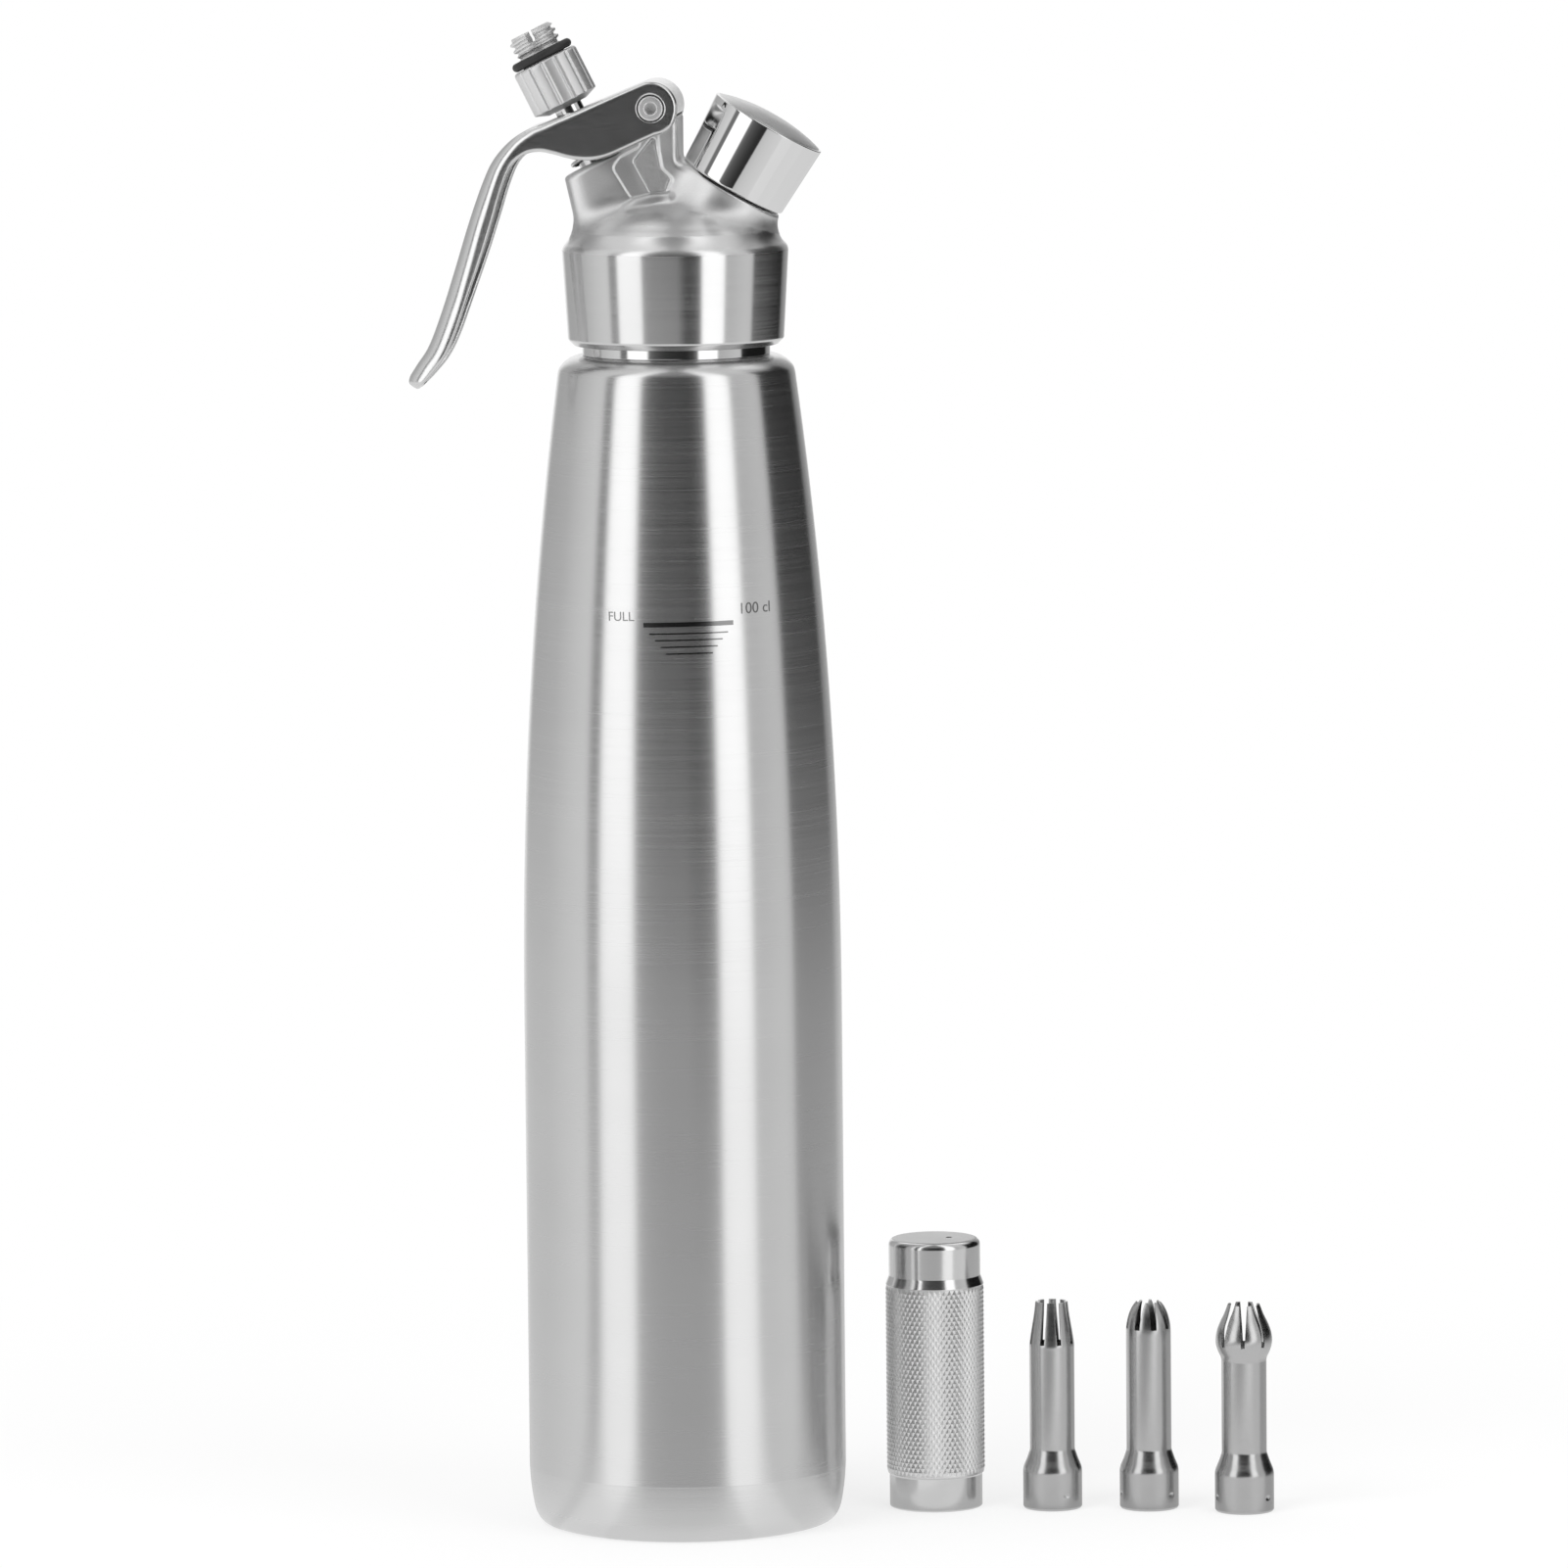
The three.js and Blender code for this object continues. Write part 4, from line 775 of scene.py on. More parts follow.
marked_bar("fill_bar", BAR_HALF, 0.0, BAR_THICKNESS)
for i, (half, drop) in enumerate(MARK_LINES):
    marked_bar(f"fill_line_{i + 1}", half, -drop, LINE_THICKNESS)
print("lines below the bar:", len(MARK_LINES))


# %% Word and number
def marked_word(name, words, size, middle, rise):
    """Letters as a mesh first, then wrapped. A thin extrusion makes them a closed slab."""
    curve = bpy.data.curves.new(name, "FONT")
    curve.body, curve.size = words, size
    curve.align_x, curve.align_y = "CENTER", "CENTER"
    curve.extrude = 0.02
    flat = bpy.data.objects.new(name + "_flat", curve)
    bpy.context.scene.collection.objects.link(flat)
    bpy.context.view_layer.update()
    graph = bpy.context.evaluated_depsgraph_get()
    mesh = bpy.data.meshes.new_from_object(flat.evaluated_get(graph))
    bpy.data.objects.remove(flat)
    mesh.name = name
    raw = np.zeros(len(mesh.vertices) * 3)
    mesh.vertices.foreach_get("co", raw)
    raw = raw.reshape(-1, 3)
    points = wrapped(raw[:, :2] + np.array([middle, rise]), 0.03)
    low = wrapped(raw[:, :2] + np.array([middle, rise]), 0.01)
    points = np.where(raw[:, 2:] > 0, points + (points - low), low)
    mesh.vertices.foreach_set("co", (points * MM).ravel())
    mesh.update()
    mesh.materials.clear()
    return place_piece(name, mesh, laser_mark, "bottle")


marked_word("fill_word", "FULL", 3.3, -17.3, 2.0)
marked_word("fill_number", "100 cl", 3.9, 17.6, 3.2)

# %% [markdown]
# ## Solids that flow into each other
# The head is cast: a dome, a thick upright plate with the valve tower and the lever post, and
# a slanting boss, which flow into each other in soft fillets. No lathe makes that. Here each
# form is a distance: a formula that is negative inside and positive outside. The smaller
# of two distances joins two forms, and rounding off that minimum makes the fillet. The skin
# is then found where the distance is zero, on a grid of small cells.

# %% Distances
def joined(a, b, fillet):
    """Union with a fillet: the smaller distance, lowered where the two are nearly equal."""
    near = np.clip(fillet - np.abs(a - b), 0, None) / fillet
    return np.minimum(a, b) - near ** 2 * fillet / 4


def cut(a, b, edge=0.0):
    """a without b, with the edge broken where a width is given."""
    if edge <= 0:
        return np.maximum(a, -b)
    return -joined(-a, b, edge)


def crossing(a, b, edge):
    """Both at once, with a true round edge of the given radius."""
    u, v = a + edge, b + edge
    return (np.minimum(np.maximum(u, v), 0)
            + np.hypot(np.maximum(u, 0), np.maximum(v, 0)) - edge)


def outline_distance(x, z, corners, closed=True):
    """Distance to the nearest side of an outline; negative inside, found by counting how many
    sides a line to the right crosses."""
    best = np.inf
    inside = False
    stop = len(corners) if closed else len(corners) - 1
    for i in range(stop):
        x1, z1 = corners[i]
        dx, dz = corners[(i + 1) % len(corners)] - corners[i]
        px, pz = x - x1, z - z1
        along = np.clip((px * dx + pz * dz) / (dx * dx + dz * dz + 1e-12), 0, 1)
        best = np.minimum(best, (px - along * dx) ** 2 + (pz - along * dz) ** 2)
        if closed and abs(dz) > 1e-9:
            crosses = (z1 > z) != (z1 + dz > z)
            inside = inside ^ (crosses & (px < pz * dx / dz))
    return np.sqrt(best) * (np.where(inside, -1.0, 1.0) if closed else 1.0)


print("two distances of 1 mm, joined with a fillet of 2:", float(joined(1.0, 1.0, 2.0)))


# %% The skin of a distance
def skin_of(field, low, high, cell):
    """Puts one point in every cell that the skin crosses, at the mean of the crossings on
    the cell's edges, moves it onto the skin by the distance along the slope, and joins the
    four cells round every crossed edge with a face."""
    axes = [np.arange(low[k], high[k] + cell, cell) for k in range(3)]
    value = field(axes[0][:, None, None], axes[1][None, :, None], axes[2][None, None, :])
    value = np.ascontiguousarray(np.broadcast_to(value, [len(a) for a in axes]), dtype=np.float32)
    inside = value < 0
    count = np.zeros([len(a) - 1 for a in axes], np.int8)
    corner = [(i, j, k) for i in (0, 1) for j in (0, 1) for k in (0, 1)]
    size = count.shape
    for i, j, k in corner:
        count += inside[i:i + size[0], j:j + size[1], k:k + size[2]]
    cells = np.argwhere((count > 0) & (count < 8))
    number = np.full(size, -1, np.int32)
    number[tuple(cells.T)] = np.arange(len(cells))
    at = {c: value[tuple((cells + c).T)] for c in corner}
    total, hits = np.zeros((len(cells), 3)), np.zeros(len(cells))
    for c in corner:
        for k in range(3):
            if c[k]:
                continue
            other = tuple(v + (n == k) for n, v in enumerate(c))
            a, b = at[c], at[other]
            crossed = (a < 0) != (b < 0)
            share = np.where(crossed, a / np.where(crossed, a - b, 1), 0)
            spot = np.array(c, float) + np.eye(3)[k] * share[:, None]
            total += spot * crossed[:, None]
            hits += crossed
    points = (cells + total / hits[:, None]) * cell + np.array([a[0] for a in axes])
    points = settle(field, points, cell)
    quads = []
    for k in range(3):
        u, v = (k + 1) % 3, (k + 2) % 3
        first = [slice(1, -1)] * 3
        first[k] = slice(0, size[k])
        here = inside[tuple(first)]
        ahead = list(first)
        ahead[k] = slice(1, size[k] + 1)
        there = inside[tuple(ahead)]
        edges = np.argwhere(here != there)
        outward = here[tuple(edges.T)]
        edges = edges + np.array([0 if n == k else 1 for n in range(3)])
        step_u, step_v = np.eye(3, dtype=int)[u], np.eye(3, dtype=int)[v]
        ring = [number[tuple((edges - s).T)] for s in (step_u + step_v, step_v, 0 * step_u, step_u)]
        ring = np.stack(ring, 1)
        quads.append(np.where(outward[:, None], ring, ring[:, ::-1]))
    quads = np.vstack(quads)
    return points, quads[(quads >= 0).all(axis=1)]


def settle(field, points, cell, rounds=3):
    """Newton steps: each point moves along the slope of the distance by its value there."""
    small = 0.02
    for _ in range(rounds):
        x, y, z = points.T
        value = field(x, y, z)
        slope = np.stack([field(x + small, y, z) - value, field(x, y + small, z) - value,
                          field(x, y, z + small) - value], 1) / small
        step = value / np.maximum((slope ** 2).sum(1), 0.25)
        points = points - np.clip(step, -cell / 2, cell / 2)[:, None] * slope
    return points


def shade_by_slope(mesh, field, reach):
    """The mesh is flat between its points, so the light is told the true direction: the slope
    of the distance, measured over a short reach to both sides, is the surface's normal."""
    spots = np.zeros(len(mesh.vertices) * 3)
    mesh.vertices.foreach_get("co", spots)
    spots = spots.reshape(-1, 3) / MM
    slopes = []
    for step in np.eye(3) * reach:
        slopes.append(field(*(spots + step).T) - field(*(spots - step).T))
    slopes = np.stack(slopes, 1)
    length = np.linalg.norm(slopes, axis=1)[:, None]
    mesh.normals_split_custom_set_from_vertices(slopes / np.maximum(length, 1e-9))


ball = skin_of(lambda x, y, z: np.sqrt(x * x + y * y + z * z) - 2.0, (-3, -3, -3), (3, 3, 3), 0.5)
print("a ball of 2 mm in cells of 0.5 mm has", len(ball[1]), "faces")

# %% [markdown]
# ## The head casting
# The plate's outline is measured from the photograph: the valve tower with its slanting top on
# the left, the post in the middle, and the line down to the boss. The boss stands at
# 30 degrees and the valve leans 26.5 degrees to the other side. Both are simple in their own
# tilted axes, so the formulas first turn the coordinates. Below them is the turned foot: the
# dome, the shoulder at 45 degrees and the collar's side, which the lathe continues downwards.
# A flat-sided mesh would break up the reflections, so the normals come from the distance.

# %% Outlines of the head
# The plate is PLATE_HALF thick to each side of the middle. A corner is x, z and its fillet.
PLATE_HALF = 9.3
PIVOT = (-4.9, 358.2)
plate_outline = rounded([
    (0, 325, 0), (10.0, 325, 0), (12.4, 338.2, 0.5), (1.7, 344.5, 2.6), (1.7, 355.96, 0.8),
    (-0.2, 356.0, 0.2), (-0.4, 360.5, 3.0), (-4.9, 363.3, 4.2), (-9.4, 361.3, 4.0), (-9.8, 357.8, 2.0),
    (-13.62, 347.68, 3.0), (-27.14, 340.94, 1.2), (-23.6, 325, 0)], 6)
panel_outline = rounded([
    (-4, 351.5, 0), (-7.0, 350.4, 0.8), (-8.0, 348.2, 0.8), (-12.6, 345.9, 1.6), (-14.6, 343.4, 1.6),
    (-9.8, 335.5, 1.4), (-0.8, 336.3, 0.8),
    (0.5, 340.4, 1.2), (-2.4, 343.0, 1.5), (-3.2, 348.2, 1.5), (-3.4, 351.5, 0)], 4)
pocket_outline = rounded([
    (-5, 350.5, 0), (-5.9, 349.4, 0.8), (-9.5, 344.9, 1.0), (-5.3, 337.2, 0.5), (-1.6, 337.4, 0.4),
    (-0.4, 340.4, 0.6), (-2.9, 343.0, 1.2), (-3.9, 348.2, 1.0), (-4.1, 350.5, 0)], 4)
lip_line = np.array([(-11.2, 333.4), (-8.6, 335.0), (-5.2, 335.9), (-0.6, 336.2)])
print("plate outline points:", len(plate_outline))

# %% Forms of the head
DOME_RADIUS, DOME_TOP, DOME_DROP = 25.4, 333.5, 7.3
COLLAR_RADIUS, SHOULDER_FOOT, COLLAR_DRAFT = 28.48, 323.0, 0.059
FOOT_CUT, FOOT_TOP = 321.4, 326.6
BOSS_RADIUS, BOSS_LENGTH = 13.6, 18
PANEL_DEPTH, POCKET_DEPTH = 0.45, 1.2


def turned_foot(radius, z):
    """The turned lower part: a dome whose height falls with the fourth power of the radius, and
    round it the shoulder, a cone at 45 degrees that rolls over into the collar's side."""
    share = np.clip(radius / DOME_RADIUS, 0, 1.2)
    fall = -4 * DOME_DROP / DOME_RADIUS * share ** 3
    top = (z - DOME_TOP + DOME_DROP * share ** 4) / np.sqrt(1 + fall ** 2)
    dome = crossing(radius - DOME_RADIUS + 0.1, top, 1.5)
    side = radius - COLLAR_RADIUS - (z - SHOULDER_FOOT) * COLLAR_DRAFT
    cone = (z + radius - SHOULDER_FOOT - COLLAR_RADIUS - 0.02) * math.sqrt(0.5)
    shoulder = np.maximum(crossing(side, cone, 0.9), z - FOOT_TOP)
    return joined(dome, shoulder, 2.6)


def on_axis(x, z, seat, lean):
    """Coordinates across and along an axis that leans about Y."""
    c, s = math.cos(lean), math.sin(lean)
    px, pz = x - seat[0], z - seat[2]
    return px * c - pz * s, px * s + pz * c


def head_distance(x, y, z):
    """Plate, boss and foot joined with fillets, less the relief, the bores and the pivot's
    hole. The plate's left edge and its right flank are drawn in by a cubic and a square."""
    foot = turned_foot(np.hypot(x, y), z)
    u, h = on_axis(x, z, VALVE_SEAT, VALVE_LEAN)
    from_left = x + 27.14 - (340.94 - z) * 0.222
    bulge = 1.9 * np.clip(1 - from_left / 9, 0, 1) ** 3 + 0.35 * np.clip((u - 1) / 7, 0, 1) ** 2
    plate = crossing(outline_distance(x, z, plate_outline), np.abs(y) - PLATE_HALF + bulge, 1.7)
    panel = np.maximum(outline_distance(x, z, panel_outline), PLATE_HALF - PANEL_DEPTH - np.abs(y))
    pocket = np.maximum(outline_distance(x, z, pocket_outline), PLATE_HALF - POCKET_DEPTH - np.abs(y))
    plate = cut(cut(plate, panel, 0.7), pocket, 0.55)
    lip = np.hypot(outline_distance(x, z, lip_line, closed=False), np.abs(y) - PLATE_HALF + 0.2) - 0.8
    plate = joined(plate, lip, 0.6)
    across, along = on_axis(x, z, PORT_SEAT, PORT_LEAN)
    port_radius = np.hypot(across, y)
    boss = crossing(port_radius - BOSS_RADIUS, np.abs(along + BOSS_LENGTH / 2) - BOSS_LENGTH / 2, 0.6)
    body = joined(joined(plate, boss, 4.0), foot, 4.5)
    socket = port_radius - np.select([along > -7.3, along > -17], [8.3, 2.2], 4.2)
    bore = np.hypot(u, y) - np.select([h > -12, h > -20.3, h > -24], [6.6, 6.1, 5.2], 8.5)
    body = cut(cut(body, socket), bore)
    body = cut(body, np.hypot(x - PIVOT[0], z - PIVOT[1]) - 2.9)
    return np.maximum(body, FOOT_CUT - z)


print("height of the dome above the collar:", DOME_TOP - SHOULDER_FOOT)

# %% Head casting
head_points, head_quads = skin_of(head_distance, (-29.0, -29.0, 320.8), (29.0, 29.0, 364.6), 0.42)
head_mesh = make_mesh("head_casting_upper", head_points, [head_quads], crisp=0)
shade_by_slope(head_mesh, head_distance, 0.3)
place_piece("head_casting_upper", head_mesh, satin_casting, "head", ["head_casting"])
head_mesh.materials.append(rough_casting)
head_mesh.materials.append(turned_dome)
middles = head_points[head_quads].mean(axis=1)
in_pocket = ((outline_distance(middles[:, 0], middles[:, 2], pocket_outline) < 0.1)
             & (np.abs(np.abs(middles[:, 1]) - PLATE_HALF + POCKET_DEPTH) < 0.3))
on_foot = turned_foot(np.hypot(middles[:, 0], middles[:, 1]), middles[:, 2]) < 0.35
head_mesh.polygons.foreach_set("material_index", (in_pocket + 2 * on_foot).astype(np.int32))
print("head casting faces:", len(head_quads))

# %% Collar
collar_outline = rounded([
    (24.2, 312, 0), (24.2, 298.6, 0.5), (25.7, 298.6, 0.4), (27.15, 300.1, 0.9), (28.465, 322.4, 0.0),
    (26.4, 322.5, 0.2), (24.2, 322.5, 0.2), (24.2, 312.2, 0)], 6)
place_piece("head_collar", turned("head_collar", collar_outline, 160, loop=True),
            turned_stainless, "head", ["head_casting"])
print("collar outline points:", len(collar_outline))

# %% [markdown]
# ## The lever
# The lever is one piece of 1.6 mm sheet, folded into a channel and polished: two cheeks
# beside the post, a top that wraps round the pivot, and a handle whose edges are rolled
# with a wide radius. It is a sheet, so its distance is simple: how far a point lies below the
# outer skin, less the sheet's thickness. The skin is the back outline crossed with the plan
# of the width, and its edge radius grows from 1.3 mm at the pivot to 5.6 mm on the handle.

# %% Outlines of the lever
# CHEEK is half the width over the cheeks. The side view's points are measured from the pivot.
SHEET = 1.6
CHEEK = 11.3
WRAP_RADIUS, WRAP_END = 6.9, math.radians(-14)
turns = np.linspace(WRAP_END, math.radians(112.2), 26)
wrap = WRAP_RADIUS * np.stack([np.cos(turns), np.sin(turns)], 1)
handle_back = smooth_curve([
    wrap[-1], (-12.4, 2.4), (-20.4, -0.9), (-27.0, -3.4), (-31.4, -5.0), (-36, -8.0), (-40.1, -12.6),
    (-42.9, -18.2), (-46.5, -28), (-50.1, -39.3), (-53.7, -50.3), (-57.2, -59.3), (-60.4, -64.2),
    (-62.4, -67.4), (-62.9, -69.4), (-61.8, -71.6)], 7)
front_edge = smooth_curve([
    (-61.0, -71.9), (-58.9, -69.7), (-56.3, -67.0), (-53.1, -63.0), (-50.3, -57.5), (-46.9, -48.2),
    (-42.8, -36.6), (-39.8, -27.2), (-37.5, -19.8), (-35.0, -14.2), (-31.6, -11.4), (-28.0, -10.7),
    (-24.6, -11.3), (-21.4, -12.2), (-18, -12.8), (-14.6, -12.8), (-11.1, -12.1), (-7.4, -10.6),
    (-3.0, -8.6), (1.0, -6.83)], 5)
under = np.radians(np.linspace(-79, -16, 12))
pivot_end = WRAP_RADIUS * np.stack([np.cos(under), np.sin(under)], 1)
lever_outline = np.vstack([wrap, handle_back[1:], front_edge, pivot_end[1:]])
tangent_end = wrap[0] + np.array([math.sin(WRAP_END), -math.cos(WRAP_END)]) * 90
back_line = np.vstack([tangent_end, wrap, handle_back[1:]])
back_region = np.vstack([back_line, [(-61.0, -120), (-10, -120)]])
# The plan of the width: y, height above the pivot, fillet
width_plan = rounded([
    (-CHEEK, 30, 0), (-CHEEK, -12.2, 20), (-8.9, -63, 12), (-7.6, -69.5, 3), (-4.6, -71.9, 3.0),
    (4.6, -71.9, 3.0), (7.6, -69.5, 3), (8.9, -63, 12), (CHEEK, -12.2, 20), (CHEEK, 30, 0)], 5)
PLATE_TOP = 13.90
RIB = np.array(on_valve([[0, 0, PLATE_TOP - SHEET]]))[0]
RIB_RADIUS = 1.6
# The edge radius, and where along the lever it is reached
EDGE_PLACES, EDGE_RADII = [-50, -42, -34, -24, -4], [5.6, 4.9, 3.4, 2.2, 1.3]
print("lever outline points:", len(lever_outline))

# %% The lever's sheet
def lever_distance(x, y, z):
    """The sheet, cut off at the side view's outline, open below the wrap, with the rib that
    presses on the valve, the slot for the stem and the pivot's hole."""
    px, pz = x - PIVOT[0], z - PIVOT[1]
    whole = outline_distance(px, pz, lever_outline)
    region = outline_distance(px, pz, back_region)
    back = np.where(region < 0, -1, 1) * outline_distance(px, pz, back_line, closed=False)
    side = outline_distance(y, pz, width_plan)
    edge = np.interp(px + 0 * pz, EDGE_PLACES, EDGE_RADII)
    skin = crossing(back, side, edge)
    sheet = np.abs(skin + SHEET / 2) - SHEET / 2
    lever = crossing(sheet, whole, 0.75)
    below_wrap = pz * math.cos(WRAP_END) - px * math.sin(WRAP_END)
    opening = np.maximum(np.maximum(below_wrap, np.abs(y) - CHEEK + SHEET), -px)
    lever = cut(lever, opening)
    rib = np.maximum(np.hypot(x - RIB[0], z - RIB[2]) - RIB_RADIUS, np.abs(y) - CHEEK + SHEET / 2)
    lever = np.minimum(lever, np.maximum(rib, back))
    u = on_axis(x, z, VALVE_SEAT, VALVE_LEAN)[0]
    slot = np.hypot(np.clip(np.abs(u) - 1.5, 0, None), y) - 4.4
    return cut(cut(lever, slot, 0.3), np.hypot(px, pz) - 3.45)


lever_points, lever_quads = skin_of(lever_distance, (-69.6, -12.1, 285.0), (3.4, 12.1, 366.2), 0.32)
lever_mesh = make_mesh("lever_channel", lever_points, [lever_quads], crisp=0)
shade_by_slope(lever_mesh, lever_distance, 0.5)
place_piece("lever_channel", lever_mesh, satin_polished, "lever", ["lever"])
print("lever faces:", len(lever_quads))

# %% [markdown]
# ## Pivot screw and its nut
# A cheese head with a hexagon socket in front and a plain head behind. The socket is made by the
# same lathe: the radius of a hexagon is its half width divided by the cosine of the angle to
# the nearest flat, and the socket's two inner rows follow that formula.

# %% Pivot heads
def in_front(points):
    """Lays a piece turned about Z along the pivot, its top towards the photographer."""
    x, y, z = np.asarray(points, float).T
    return np.stack([x + PIVOT[0], -z, y + PIVOT[1]], 1)


def behind(points):
    """The same for a piece whose top is away from the photographer."""
    x, y, z = np.asarray(points, float).T
    return np.stack([x + PIVOT[0], z, y + PIVOT[1]], 1)


def hexagon_socket(angle, radius, height):
    """Only the socket's own rows become hexagons; the rest stays round."""
    flat = np.cos((angle % (np.pi / 3)) - np.pi / 6)
    return np.where((radius < 1.5) & (radius > 1.0) & (height > 9.0), radius / flat, radius)


screw_outline = rounded([
    (0, -6, 0), (1.5, -6, 0.2), (1.5, 8.6, 0), (1.74, 8.9, 0), (1.74, 10.1, 0.1), (3.18, 10.1, 0.1),
    (3.18, 11.5, 0.5), (1.8, 11.55, 0.1), (1.45, 11.3, 0.05), (1.45, 9.5, 0.05), (0.4, 9.4, 0), (0, 9.45, 0)],
    4, 0.1)
screw = turned("pivot_screw_turned", screw_outline, 48, shape=hexagon_socket, place=in_front)
place_piece("pivot_screw_turned", screw, turned_adapter, "head", ["pivot_screw"])
print("screw outline points:", len(screw_outline))

# %% Barrel nut
nut_outline = rounded([
    (0, 7, 0), (1.8, 7, 0.2), (1.8, -9.9, 0.2), (2.6, -9.9, 0.2), (2.6, 10.1, 0.1), (3.18, 10.1, 0.1),
    (3.18, 11.5, 0.5), (0, 11.6, 0)], 4, 0.1)
nut = turned("pivot_nut_turned", nut_outline, 48, place=behind)
place_piece("pivot_nut_turned", nut, turned_adapter, "head", ["pivot_barrel_nut"])
print("nut outline points:", len(nut_outline))

# %% [markdown]
# ## Along the valve axis
# The stem slides in the casting and carries the nozzle adapter on its end. The adapter is a
# knurled nut in effect: a cylinder with fifteen narrow flutes for the fingers, a dark undercut
# cone below, the rubber ring on its shoulder and the thread that the nozzles screw on. A
# slot across the thread, as for a screwdriver, is cut with a Boolean.

# %% Cutting
def carved(mesh, cutters, angle=35):
    """Cuts closed meshes out of another with Boolean modifiers, applied at once. Edges sharper
    than the angle stay crisp."""
    solid = bpy.data.objects.new("solid", mesh)
    bpy.context.scene.collection.objects.link(solid)
    tools = []
    for cutter in cutters:
        tool = bpy.data.objects.new("tool", cutter)
        bpy.context.scene.collection.objects.link(tool)
        step = solid.modifiers.new("cut", "BOOLEAN")
        step.operation, step.solver, step.object = "DIFFERENCE", "EXACT", tool
        tools.append(tool)
    bpy.context.view_layer.update()
    graph = bpy.context.evaluated_depsgraph_get()
    result = bpy.data.meshes.new_from_object(solid.evaluated_get(graph))
    result.name = mesh.name + "_cut"
    for thing in [solid, *tools]:
        bpy.data.objects.remove(thing)
    result.set_sharp_from_angle(angle=math.radians(angle))
    result.materials.clear()
    return result


def prism(name, across, low, high, near, far, turn=0.0, narrow=1.0, place=None):
    """A straight-sided block: across is its width at the top, narrow the share of that at
    the bottom. It lies between two distances from the axis, turned about it."""
    corners = [(d, w * k / 2, h) for h, k in ((low, narrow), (high, 1.0))
               for d, w in ((near, -across), (far, -across), (far, across), (near, across))]
    c, s = math.cos(turn), math.sin(turn)
    points = np.array([(x * c - y * s, x * s + y * c, z) for x, y, z in corners])
    faces = [(3, 2, 1, 0), (4, 5, 6, 7), (0, 1, 5, 4), (1, 2, 6, 5), (2, 3, 7, 6), (3, 0, 4, 7)]
    return make_mesh(name, points if place is None else place(points), [np.array(faces)])


def ring_piece(name, inner, outer, low, high, edge, sides, place, material, body, stands_for, finish):
    """A flat ring with broken edges."""
    middle = (low + high) / 2
    outline = rounded([(inner, middle, 0), (inner, low, edge), (outer, low, edge),
                       (outer, high, edge), (inner, high, edge), (inner, middle + 0.01, 0)], 3, 0.05)
    mesh = turned(name, outline, sides, loop=True, place=place)
    return place_piece(name, mesh, material, body, [stands_for])


def round_ring(mean, section, height, count=20):
    turn = np.linspace(0, 2 * np.pi, count, endpoint=False)
    return np.stack([mean + section / 2 * np.cos(turn), height + section / 2 * np.sin(turn)], 1)


print("helpers:", carved.__name__, prism.__name__, ring_piece.__name__, round_ring.__name__)

# %% Nozzle adapter
ADAPTER_BOTTOM = PLATE_TOP + 1.4
ADAPTER_BODY = PLATE_TOP + 2.7
ADAPTER_TOP = PLATE_TOP + 14.5
SPOUT_BOTTOM, SPOUT_TOP = ADAPTER_TOP + 2.5, ADAPTER_TOP + 8.1
ADAPTER_RADIUS, FLUTES = 8.55, 15
SPOUT_ROOT, SPOUT_CREST, SPOUT_PITCH, SPOUT_BORE = 5.2, 6.05, 1.75, 3.2
spout_thread = thread_shape(SPOUT_ROOT, SPOUT_CREST, SPOUT_PITCH, SPOUT_BOTTOM + 0.3, SPOUT_TOP - 0.1)


def adapter_shape(angle, radius, height):
    """Narrow flutes: away is the distance along the rim from the nearest flute, and each flute
    is a shallow parabola."""
    turn = ((angle + np.pi / 2) * FLUTES / (2 * np.pi) + 0.5) % 1.0
    away = np.abs(turn - 0.5) / FLUTES * 2 * np.pi * ADAPTER_RADIUS
    groove = 0.3 * np.clip(1 - (away / 0.5) ** 2, 0, 1)
    fluted = (radius > 7.7) & (height > ADAPTER_BODY - 0.9)
    radius = np.where(fluted, np.minimum(radius, ADAPTER_RADIUS - groove), radius)
    return spout_thread(angle, radius, height)


adapter_outline = np.vstack([
    rounded([(3.9, ADAPTER_BOTTOM + 7, 0), (3.9, ADAPTER_BOTTOM, 0.1), (5.2, ADAPTER_BOTTOM, 0.3),
             (ADAPTER_RADIUS, ADAPTER_BODY, 0.35), (ADAPTER_RADIUS, ADAPTER_TOP, 0.9),
             (5.65, ADAPTER_TOP, 0.2), (5.65, SPOUT_BOTTOM, 0.2), (SPOUT_ROOT, SPOUT_BOTTOM + 0.05, 0)]),
    between(SPOUT_ROOT, SPOUT_BOTTOM + 0.1, SPOUT_TOP - 0.25, 0.14),
    rounded([(5.0, SPOUT_TOP, 0), (3.5, SPOUT_TOP, 0.2), (SPOUT_BORE, SPOUT_TOP - 0.4, 0.2),
             (SPOUT_BORE, ADAPTER_BOTTOM + 10, 0.2), (3.9, ADAPTER_BOTTOM + 10, 0.1),
             (3.9, ADAPTER_BOTTOM + 7.2, 0)])])
adapter_blank = turned("nozzle_adapter_turned", adapter_outline, 240, loop=True,
                       shape=adapter_shape, place=on_valve)
slot = prism("spout_slot", 1.8, SPOUT_BOTTOM + 2.8, SPOUT_TOP + 2, -9, 9, turn=math.pi / 2, place=on_valve)
place_piece("nozzle_adapter_turned", carved(adapter_blank, [slot], 50), turned_adapter, "valve",
            ["nozzle_adapter"])
place_piece("adapter_o_ring_round",
            turned("adapter_o_ring_round", round_ring(7.05, 2.2, ADAPTER_TOP + 1.25), 96, loop=True,
                   place=on_valve), nitrile_rubber, "valve", ["adapter_o_ring"])
print("adapter outline points:", len(adapter_outline))

